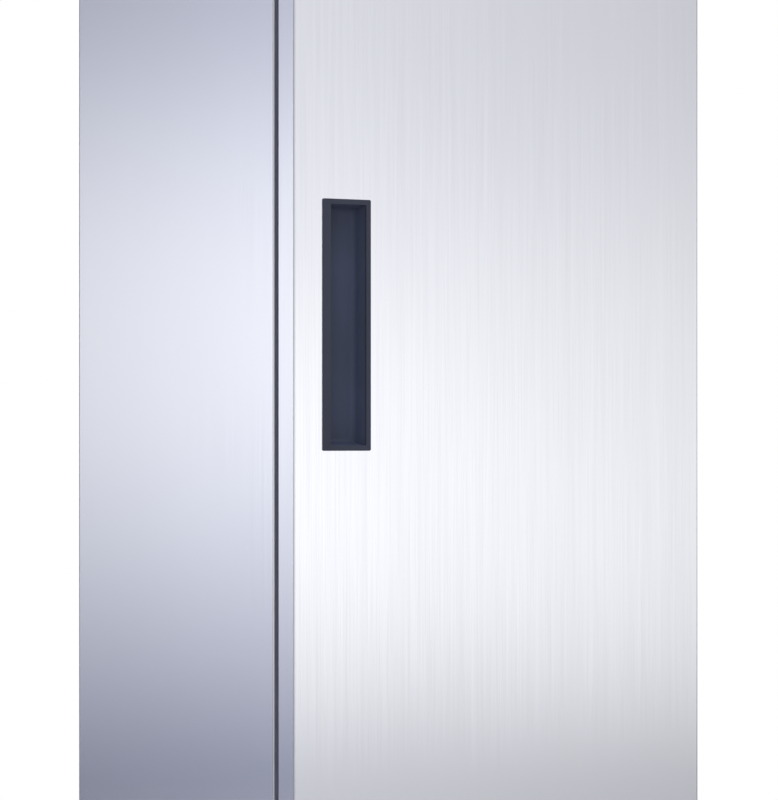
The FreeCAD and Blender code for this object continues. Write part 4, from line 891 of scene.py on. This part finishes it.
# fan motors: ribbed body with end bells, shaft, and a strap bent forward to the opening
motor = {"body": [(0, 0), (9, 0), (10, 1.5), (24, 2), (28, 5), (30, 9), (30, 20), (28.6, 21), (28.6, 24),
                  (30, 25), (30, 37), (28.6, 38), (28.6, 41), (30, 42), (30, 53), (28, 57), (24, 60),
                  (12, 61), (11, 62), (0, 62)],
         "start": 3, "shaft": 3.0, "shaftFront": -17.5, "shaftBack": 5, "strapAt": 34, "strap": 2.0,
         "halfStrap": 7, "screw": 2.6, "screwHead": 3.2, "screwOut": 22}


def motorOf(name, node, hubNode):
    low, high = placeOf(node)
    hubLow, hubHigh = placeOf(hubNode)
    centre = Vector(((low.x + high.x) / 2, (hubLow.y + hubHigh.y) / 2 + fan["halfHub"],
                     (low.z + high.z) / 2))

    def behind(far, x=0):
        return centre + Vector((x, far, 0))

    parts = [spun("motor", motor["body"], behind(motor["start"]), (0, 1, 0), 40),
             startRod("shaft", motor["shaft"], behind(motor["shaftFront"]), behind(motor["shaftBack"]), 20)]
    strapY = centre.y + motor["strapAt"]
    strap = startBlock("strap", (low.x, strapY, centre.z - motor["halfStrap"]),
                       (high.x, strapY + motor["strap"], centre.z + motor["halfStrap"]))
    openUp(strap)
    for side in (-1, 1):                    # the ends become the feet that reach forward
        pick(strap, lambda c, n: n.x * side > 0.9)
        push(x=-side * motor["strap"])
        pull(x=side * motor["strap"])
    pick(strap, lambda c, n: n.y < -0.9 and abs(c.x - centre.x) > (high.x - low.x) / 2 - motor["strap"])
    pull(y=low.y - strapY)
    parts.append(eased(strap, 0.6))
    headAt = motor["strapAt"] + motor["screwHead"]
    for x in (-motor["screwOut"], motor["screwOut"]):
        screw = startRod("screw", motor["screw"], behind(headAt, x), behind(motor["strapAt"], x), 16)
        parts.append(eased(screw, 0.6))
    dress(joined(name, parts), "cabinet", "motor_paint", node)


motorOf("cold_fan_motor", "evaporator_fan_motor", "evaporator_fan_blade")
motorOf("warm_fan_motor", "condenser_fan_motor", "condenser_fan_blade")

# fan guard: bent outer wire, level wires and two uprights behind them
guard = {"outer": 1.9, "wire": 1.5, "corner": 9, "wires": 9, "inset": 4, "front": 0.5, "uprightBack": 1.2,
         "uprights": (-38, 38)}
low, high = placeOf("evaporator_fan_guard")
wireY = (low.y + high.y) / 2 - guard["front"]
rimLow, rimHigh = low + Vector((guard["outer"],) * 3), high - Vector((guard["outer"],) * 3)
parts = [bentTube("guard", [(rimLow.x, wireY, rimLow.z), (rimHigh.x, wireY, rimLow.z),
                            (rimHigh.x, wireY, rimHigh.z), (rimLow.x, wireY, rimHigh.z)],
                  guard["outer"], guard["corner"], closed=True, roundness=3)]
for number in range(guard["wires"]):
    z = low.z + guard["inset"] + (high.z - low.z - 2 * guard["inset"]) * (number + 1) / (guard["wires"] + 1)
    parts.append(startRod("wire", guard["wire"], (rimLow.x, wireY, z), (rimHigh.x, wireY, z), 12))
uprightY = wireY + guard["uprightBack"]
for x in guard["uprights"]:
    parts.append(startRod("upright", guard["wire"], (x, uprightY, rimLow.z), (x, uprightY, rimHigh.z), 12))
dress(joined("fan_guard", parts), "cabinet", "guard_steel", "evaporator_fan_guard")
print("fans made")

# compressor: drawn shell with a weld band and domed ends, foot plate, terminal cover
pump = {"shell": [(0, 0), (48, 0), (60, 3), (68, 11), (71, 24), (71, 81), (72, 82.5), (72, 90.5),
                  (71, 92), (71, 138), (69, 152), (62, 164), (49, 171.5), (28, 174.5), (0, 175)],
        "centre": (-90, 161, 1814), "plateLow": (-190, 89, 1812), "plateHigh": (10, 233, 1814.6),
        "corner": 14, "coverLow": (-30, 139, 1876), "coverHigh": (4, 183, 1934),
        "coverTaper": (1, 0.88, 0.9)}
shell = spun("compressor_shell", pump["shell"], pump["centre"], (0, 0, 1), 72)
foot = roundedPlate("foot", pump["plateLow"], pump["plateHigh"], pump["corner"], 5)
cover = startBlock("cover", pump["coverLow"], pump["coverHigh"])
openUp(cover)
pick(cover, lambda c, n: n.x > 0.9)
bpy.ops.transform.resize(value=pump["coverTaper"],
                         center_override=(Vector(pump["coverLow"]) + Vector(pump["coverHigh"])) / 2 * mm)
eased(cover, 4, 4)
dress(joined("compressor_body", [shell, foot, cover]), "cabinet", "compressor_paint", "compressor")

# rubber feet under the compressor, each with its sleeve, washer and nut
pumpFeet = {"rubber": [(3.2, 0), (9, 0), (9, 2.6), (7.4, 3.8), (7.4, 6.2), (9, 7.4), (9, 10), (3.2, 10),
                       (3.2, 0)],
            "nuts": [(0, 12.6), (8, 12.6), (8, 13.8), (5.6, 13.8), (5.6, 18), (4.6, 18.8), (3, 18.8),
                     (3, 22), (0, 22)],
            "reachX": 89, "reachY": 61, "seat": -12}
for part, finish in (("rubber", "gasket_rubber"), ("nuts", "hinge_steel")):
    feet = []
    for stepX in (-pumpFeet["reachX"], pumpFeet["reachX"]):
        for stepY in (-pumpFeet["reachY"], pumpFeet["reachY"]):
            spot = Vector(pump["centre"]) + Vector((stepX, stepY, pumpFeet["seat"]))
            feet.append(spun("foot", pumpFeet[part], spot, (0, 0, 1), 24))
    name = "compressor_feet" if part == "rubber" else "compressor_nuts"
    dress(joined(name, feet), "cabinet", finish, "compressor")

# refrigerant lines in drawn tube, and the filter drier
lines = {"small": 4.8, "large": 6.3, "bend": 12,
         "discharge": [(-159, 161, 1907), (-292, 161, 1907), (-292, -255, 1907), (-279, -255, 1907)],
         "liquid": [(99, -255, 1820), (126, -255, 1820), (126, -255, 1863)],
         "suction": [(-54, 220, 1907), (-54, 251, 1907), (90, 251, 1907), (90, 251, 1802)]}
tubes = [bentTube(name, lines[name], lines[size], lines["bend"])
         for name, size in (("discharge", "small"), ("liquid", "small"), ("suction", "large"))]
dress(joined("copper_lines", tubes), "cabinet", "copper", "refrigerant_lines")
drier = {"outline": [(0, 0), (5.6, 0), (6, 4), (9, 7), (14.6, 11), (16, 15), (16, 44), (16.4, 45),
                     (16.4, 50), (16, 51), (16, 80), (14.6, 84), (9, 88), (6, 91), (5.6, 95), (0, 95)]}
low, high = placeOf("filter_drier")
dryer = spun("drier_body", drier["outline"], ((low.x + high.x) / 2, (low.y + high.y) / 2, low.z),
             (0, 0, 1), 40)
dress(dryer, "cabinet", nodeFinish["filter_drier"], "filter_drier")
print("machinery made")

# coils: rippled fins between end plates, and hairpin bends at both ends
coil = {"fin": 0.9, "inset": 2.5, "shorter": 3, "ripple": 1.1, "ripples": 6, "endPlate": 2.0, "endGap": 2,
        "tube": 4.0, "hairpin": 20, "bend": 7.4, "out": 7.5, "clear": (9, 14, 22)}


def coilOf(name, node, finPitch, rows, bendsFrom, bendsTo, keepClear=()):
    low, high = placeOf(node)
    finX = low.x + coil["endPlate"] + coil["endGap"]
    depth = high.y - low.y - 2 * coil["inset"]
    leaveEdit()
    bpy.ops.mesh.primitive_grid_add(
        x_subdivisions=coil["ripples"], y_subdivisions=1, size=1,
        location=Vector((finX, (low.y + high.y) / 2, (low.z + high.z) / 2)) * mm,
        rotation=(math.radians(90), 0, math.radians(90)))
    fin = bpy.context.object
    fin.scale = (depth * mm, (high.z - low.z - 2 * coil["shorter"]) * mm, 1)
    settle(fin, "fin")
    openUp(fin, "VERT")
    frontY = low.y + coil["inset"]
    pick(fin, lambda c, n: round((c.y - frontY) / depth * coil["ripples"]) % 2 == 1, "VERT")
    push(x=coil["ripple"])
    thickened(fin, coil["fin"])
    repeated(fin, int((high.x - low.x - 2 * coil["endPlate"] - 2 * coil["endGap"]) / finPitch) + 1,
             (finPitch, 0, 0))
    plates = [eased(startBlock("plate", (x, low.y, low.z), (x + coil["endPlate"], high.y, high.z)), 0.4)
              for x in (low.x, high.x - coil["endPlate"])]
    dress(joined(name, [fin] + plates), "cabinet", "coil_aluminium", node)
    bends = []
    for y in rows:
        for z in range(bendsFrom, bendsTo - coil["hairpin"] + 1, 2 * coil["hairpin"]):
            top = z + coil["hairpin"]
            bends += [startRod("tube", coil["tube"], (low.x + 1, y, level), (high.x - 1, y, level), 12)
                      for level in (z, top)]
            for side, x in ((-1, low.x + 0.5), (1, high.x - 0.5)):
                middle = (x, y, (z + top) / 2)
                if not any(all(abs(a - b) < room for a, b, room in zip(spot, middle, coil["clear"]))
                           for spot in keepClear):
                    bends.append(bentTube("hairpin", [
                        (x, y, z), (x + side * coil["out"], y, z), (x + side * coil["out"], y, top),
                        (x, y, top)], coil["tube"], coil["bend"], fineness=3, roundness=3))
    dress(joined(name + "_hairpins", bends), "cabinet", "copper", node)


coilOf("condenser_fins", "condenser_coil", finPitch=2.9, rows=(-274, -236), bendsFrom=1814, bendsTo=2018,
       keepClear=[lines["discharge"][-1], lines["liquid"][0]])
coilOf("evaporator_fins", "evaporator_coil", finPitch=5.0, rows=(258, 284, 310), bendsFrom=1590,
       bendsTo=1704)
print("coils made")


# electrical box: body with round knockouts, lid with rolled rim and screws
control = {"lidHeight": 12, "lidOver": 2, "lidRound": 2.5, "bodyRound": 1.5, "knockout": 11,
           "knockoutIn": 35, "knockoutUp": 40, "knockoutProud": 1.2, "screw": 4, "screwIn": 14}
low, high = placeOf("electrical_box")
over = control["lidOver"]
lidZ = high.z - control["lidHeight"]
parts = [eased(startBlock("box_body", (low.x + over, low.y + over, low.z),
                          (high.x - over, high.y - over, lidZ + over)), control["bodyRound"], 3),
         eased(startBlock("box_lid", (low.x, low.y, lidZ), high), control["lidRound"], 4)]
discZ = low.z + control["knockoutUp"]
for x in (low.x + control["knockoutIn"], (low.x + high.x) / 2, high.x - control["knockoutIn"]):
    disc = startRod("knockout", control["knockout"], (x, low.y + over, discZ),
                    (x, low.y + over - control["knockoutProud"], discZ))
    parts.append(eased(disc, 0.5))
for x in (low.x + control["screwIn"], high.x - control["screwIn"]):
    for y in (low.y + control["screwIn"], high.y - control["screwIn"]):
        screw = startRod("screw", control["screw"], (x, y, high.z), (x, y, high.z + 0.1), 20)
        openUp(screw)
        pick(screw, lambda c, n: n.z > 0.9)
        shrink(1.2)
        parts.append(screw)
dress(joined("control_box", parts), "cabinet", "box_paint", "electrical_box")

# power inlet: moulded body with a deep recess, three flat pins, and its folded bracket
inlet = {"sideIn": 8, "from": 40, "to": 68, "wall": 5, "corner": 3, "depth": 16, "sheet": 2,
         "bracketOver": 6, "halfPin": (1.0, 2.7), "pinLength": 12,
         "pins": [(-7, -0.6), (0, 1.2), (7, -0.6)]}     # across and up from the middle
low, high = placeOf("power_inlet")
bodyLow = Vector((low.x + inlet["sideIn"], low.y + inlet["sheet"], low.z + inlet["from"]))
bodyHigh = Vector((high.x - inlet["sideIn"], high.y, low.z + inlet["to"]))
middle = (bodyLow + bodyHigh) / 2
half = (bodyHigh - bodyLow) / 2
socket = startBlock("inlet_body", bodyLow, bodyHigh)
openUp(socket)
pick(socket, lambda c, n: n.y > 0.9)
shrink(inlet["wall"])
pull(y=-inlet["depth"])
pick(socket, lambda c, n: abs(n.y) > 0.9 and at(abs(c.x - middle.x), half.x)
     and at(abs(c.z - middle.z), half.z), "EDGE")
roundPicked(inlet["corner"], 4)
eased(socket, 0.7, 3)
bracket = startBlock("inlet_bracket", low, (high.x, bodyLow.y, bodyHigh.z + inlet["bracketOver"]))
openUp(bracket)
pick(bracket, lambda c, n: n.z < -0.9)
push(z=inlet["sheet"])
pull(z=-inlet["sheet"])
pick(bracket, lambda c, n: n.y > 0.9 and c.z < low.z + inlet["sheet"])
pull(y=high.y - low.y - 2 * inlet["sheet"])
eased(bracket, 0.6)
dress(joined("inlet_housing", [socket, bracket]), "cabinet", "inlet_plastic", "power_inlet")
pins = []
pinY = high.y - inlet["depth"]
halfX, halfZ = inlet["halfPin"]
for aside, up in inlet["pins"]:
    x, z = middle.x + aside, middle.z + up
    pins.append(eased(startBlock("pin", (x - halfX, pinY, z - halfZ),
                                 (x + halfX, pinY + inlet["pinLength"], z + halfZ)), 0.6, 3))
dress(joined("inlet_pins", pins), "cabinet", "clip_steel", "power_inlet")

# interior lamp: tapered housing with a ribbed frosted cover
lamp = {"taper": (0.97, 0.7, 1), "ribs": 28, "ribRound": 1.2, "ribWide": 4, "fromEnd": 10, "fromSide": 6,
        "proud": 0.5, "deep": 2}
low, high = placeOf("interior_lamp")
cover = startBlock("lamp_cover", low, high)
openUp(cover)
pick(cover, lambda c, n: n.z < -0.9)
bpy.ops.transform.resize(value=lamp["taper"], center_override=(low + high) / 2 * mm)
eased(cover, 2.5, 4)
ribX = low.x + lamp["fromEnd"]
rib = startBlock("rib", (ribX, low.y + lamp["fromSide"], low.z - lamp["proud"]),
                 (ribX + lamp["ribWide"], high.y - lamp["fromSide"], low.z + lamp["deep"]))
eased(rib, lamp["ribRound"])
ribRun = high.x - low.x - 2 * lamp["fromEnd"] - lamp["ribWide"]
repeated(rib, lamp["ribs"], (ribRun / (lamp["ribs"] - 1), 0, 0))
dress(joined("lamp_fitting", [cover, rib]), "cabinet", "lamp_cover", "interior_lamp")

# controller: eased bezel, keys with a dark raised mark, rocker and dark window
easedNode("controller_bezel", "control_bezel", "grille", "bezel_plastic", 0.4, 3, 30)
easedNode("display_window", "display_pane", "grille", "window_plastic", 0.25)
keyMark = {"radius": 2.6, "thick": 0.6, "proud": 0.25, "backRoom": 0.15}
for key, corners in (("down", 3), ("up", 3), ("set", 24)):
    node, body = key + "_button", key + "_key"
    low, high = placeOf(node)
    middle = (low + high) / 2
    cap = copyOfNode(node, body + "_cap")
    openUp(cap)
    pick(cap, lambda c, n: n.y > 0.9)
    push(y=-keyMark["backRoom"])        # so that a pressed key stops short of the bezel's floor
    dress(eased(cap, 0.3), body, "key_plastic", node)
    markY = low.y - keyMark["proud"]
    mark = startRod("mark", keyMark["radius"], (middle.x, markY + keyMark["thick"], middle.z),
                    (middle.x, markY, middle.z), corners)
    if key == "down":
        openUp(mark)
        pickAll()
        bpy.ops.transform.resize(value=(1, 1, -1), center_override=middle * mm)
        closeUp(mark)
    eased(mark, 0.15)
    dress(settle(mark, body + "_mark"), body, "bezel_plastic", node)
easedNode("power_switch", "rocker_cap", "rocker", "switch_plastic", 0.6, 3, 20)
print("fittings made")


# studio: a pale floor that fades to white, a white surround, soft lamps
studio = {
    "floor": {"colour": (0.78, 0.78, 0.79), "roughness": 0.7},
    "floorRadius": 3.3,
    "fadeStart": 1.6,
    "fadeEnd": 3.2,
    "ambient": 0.62,            # what the surround gives to matt surfaces
}
bpy.ops.object.select_all(action="DESELECT")
bpy.ops.mesh.primitive_circle_add(vertices=96, radius=studio["floorRadius"], fill_type="NGON")
floor = bpy.context.object
floor.name = "studio_floor"
pale, floorTree, floorShader = newFinish("pale_floor", studio["floor"])
shades = [shaded(studio["floor"]["colour"], share) for share in (0.985, 1.015)]
plug(floorTree, tinted(floorTree, cloudValue(floorTree, (3, 3, 3), 3), *shades),
     floorShader.inputs["Base Color"])
fromCentre = addNode(floorTree, "ShaderNodeVectorMath", operation="LENGTH")
plug(floorTree, patternSpace(floorTree), fromCentre.inputs[0])
fade = ranged(floorTree, fromCentre.outputs["Value"], 0, 1, studio["fadeStart"], studio["fadeEnd"])
rays = addNode(floorTree, "ShaderNodeLightPath").outputs
seen = sumOf(floorTree, sumOf(floorTree, rays["Is Camera Ray"], rays["Is Glossy Ray"], "MAXIMUM"),
             rays["Is Transmission Ray"], "MAXIMUM")
white = addNode(floorTree, "ShaderNodeEmission")
white.inputs["Color"].default_value = (1, 1, 1, 1)
plug(floorTree, mixedShaders(floorTree, sumOf(floorTree, fade, seen, "MULTIPLY"), floorShader.outputs[0],
                             white.outputs[0]), floorTree.nodes["Material Output"].inputs["Surface"])
floor.data.materials.append(pale)

world = bpy.data.worlds.new("studio_surround")
bpy.context.scene.world = world
world.use_nodes = True
sky = world.node_tree
ambient = sky.nodes["Background"]
ambient.inputs["Color"].default_value = (0.97, 0.98, 1.0, 1)
ambient.inputs["Strength"].default_value = studio["ambient"]
backdrop = addNode(sky, "ShaderNodeBackground")
backdrop.inputs["Color"].default_value = (1, 1, 1, 1)


# what metal sees: light that changes along a direction, smoothly from stop to stop
def bandOf(tree, value, stops, reach):
    ramp = addNode(tree, "ShaderNodeValToRGB")
    ramp.color_ramp.interpolation = "CARDINAL"
    while len(ramp.color_ramp.elements) < len(stops):
        ramp.color_ramp.elements.new(0.5)
    for element, (place, level, *blue) in zip(ramp.color_ramp.elements, stops):
        cool = blue[0] if blue else 0
        element.position = (place + reach) / (2 * reach)
        element.color = (level, level + 0.15 * cool, level + cool, 1)
    plug(tree, value, ramp.inputs["Fac"])
    return ramp.outputs["Color"]


# by height above the horizon (sine, level, how much bluer), then from left to right (sine, level)
surround = {
    "back": [(-0.28, 0.60, 0.01), (-0.19, 0.40, 0.02), (-0.15, 0.20, 0.06), (-0.117, 0.212, 0.10),
             (-0.085, 0.38, 0.11), (-0.065, 0.51, 0.11), (-0.045, 0.64, 0.11), (-0.01, 0.84, 0.10),
             (0.035, 0.92, 0.08), (0.073, 0.85, 0.10), (0.106, 0.66, 0.11), (0.137, 0.49, 0.12),
             (0.17, 0.47, 0.07), (0.25, 0.62, 0.02)],
    "front": [(-0.28, 0.62, 0.01), (-0.19, 0.44, 0.02), (-0.14, 0.19, 0.04), (-0.115, 0.35, 0.04),
              (-0.10, 0.55, 0.04), (-0.085, 0.75, 0.04), (-0.07, 0.93, 0.03), (-0.05, 1.0, 0.03),
              (-0.02, 0.98, 0.03), (0.012, 0.94, 0.03), (0.04, 0.86, 0.03), (0.073, 0.76, 0.04),
              (0.105, 0.67, 0.04), (0.137, 0.62, 0.04), (0.25, 0.66, 0.02)],
    "backSides": [(-0.92, 0.20), (-0.74, 0.42), (-0.60, 1.0), (-0.44, 0.60), (-0.40, 0.455),
                  (-0.22, 0.0), (-0.08, 0.34), (0.05, 0.45), (0.9, 0.52)],
    "frontSides": [(-0.9, 0.44), (-0.45, 0.50), (-0.10, 0.52), (0.10, 0.54), (0.26, 0.71), (0.38, 0.86),
                   (0.49, 0.68), (0.62, 0.42), (0.80, 0.22), (0.95, 0.30)],
    "backLevel": 2.16,
    "frontLevel": 1.95,
    "reach": 0.3,               # the stops by height lie this far either side of the horizon
}
lookAt = addNode(sky, "ShaderNodeTexCoord")
apart = addNode(sky, "ShaderNodeSeparateXYZ")
plug(sky, lookAt.outputs["Generated"], apart.inputs["Vector"])
height = ranged(sky, apart.outputs["Z"], 0, 1, -surround["reach"], surround["reach"])
across = ranged(sky, apart.outputs["X"], 0, 1, -1, 1)
toFront = ranged(sky, apart.outputs["Y"], 0, 1, 0.3, -0.3)
halves = []
for half in ("back", "front"):
    light = tintMix(sky, "MULTIPLY", bandOf(sky, height, surround[half], surround["reach"]),
                    bandOf(sky, across, surround[half + "Sides"], 1))
    halves.append(tintMix(sky, "MULTIPLY", light, (surround[half + "Level"],) * 3))
glossed = addNode(sky, "ShaderNodeBackground")
plug(sky, tintMix(sky, "MIX", *halves, toFront), glossed.inputs["Color"])
rays = addNode(sky, "ShaderNodeLightPath").outputs
litSky = mixedShaders(sky, rays["Is Glossy Ray"], ambient.outputs[0], glossed.outputs[0])
seen = sumOf(sky, rays["Is Camera Ray"], rays["Is Transmission Ray"], "MAXIMUM")
plug(sky, mixedShaders(sky, seen, litSky, backdrop.outputs[0]), sky.nodes["World Output"].inputs["Surface"])


def softLamp(name, place, aim, size, power):
    bpy.ops.object.select_all(action="DESELECT")
    bpy.ops.object.light_add(type="AREA", location=place)
    lamp = bpy.context.object
    lamp.name = name
    lamp.data.shape = "RECTANGLE"
    lamp.data.size, lamp.data.size_y = size
    lamp.data.energy = power
    lamp.rotation_euler = (Vector(aim) - Vector(place)).to_track_quat("-Z", "Y").to_euler()
    lamp.visible_glossy = False         # metal mirrors the surround alone


softLamp("overhead_softbox", place=(0.3, -0.8, 4.2), aim=(0, 0, 0.8), size=(3.0, 3.0), power=95)
softLamp("front_softbox", place=(-2.9, -4.0, 1.9), aim=(0, 0, 0.9), size=(2.2, 2.2), power=54)
bpy.context.scene.view_settings.view_transform = "Standard"
print("studio set")
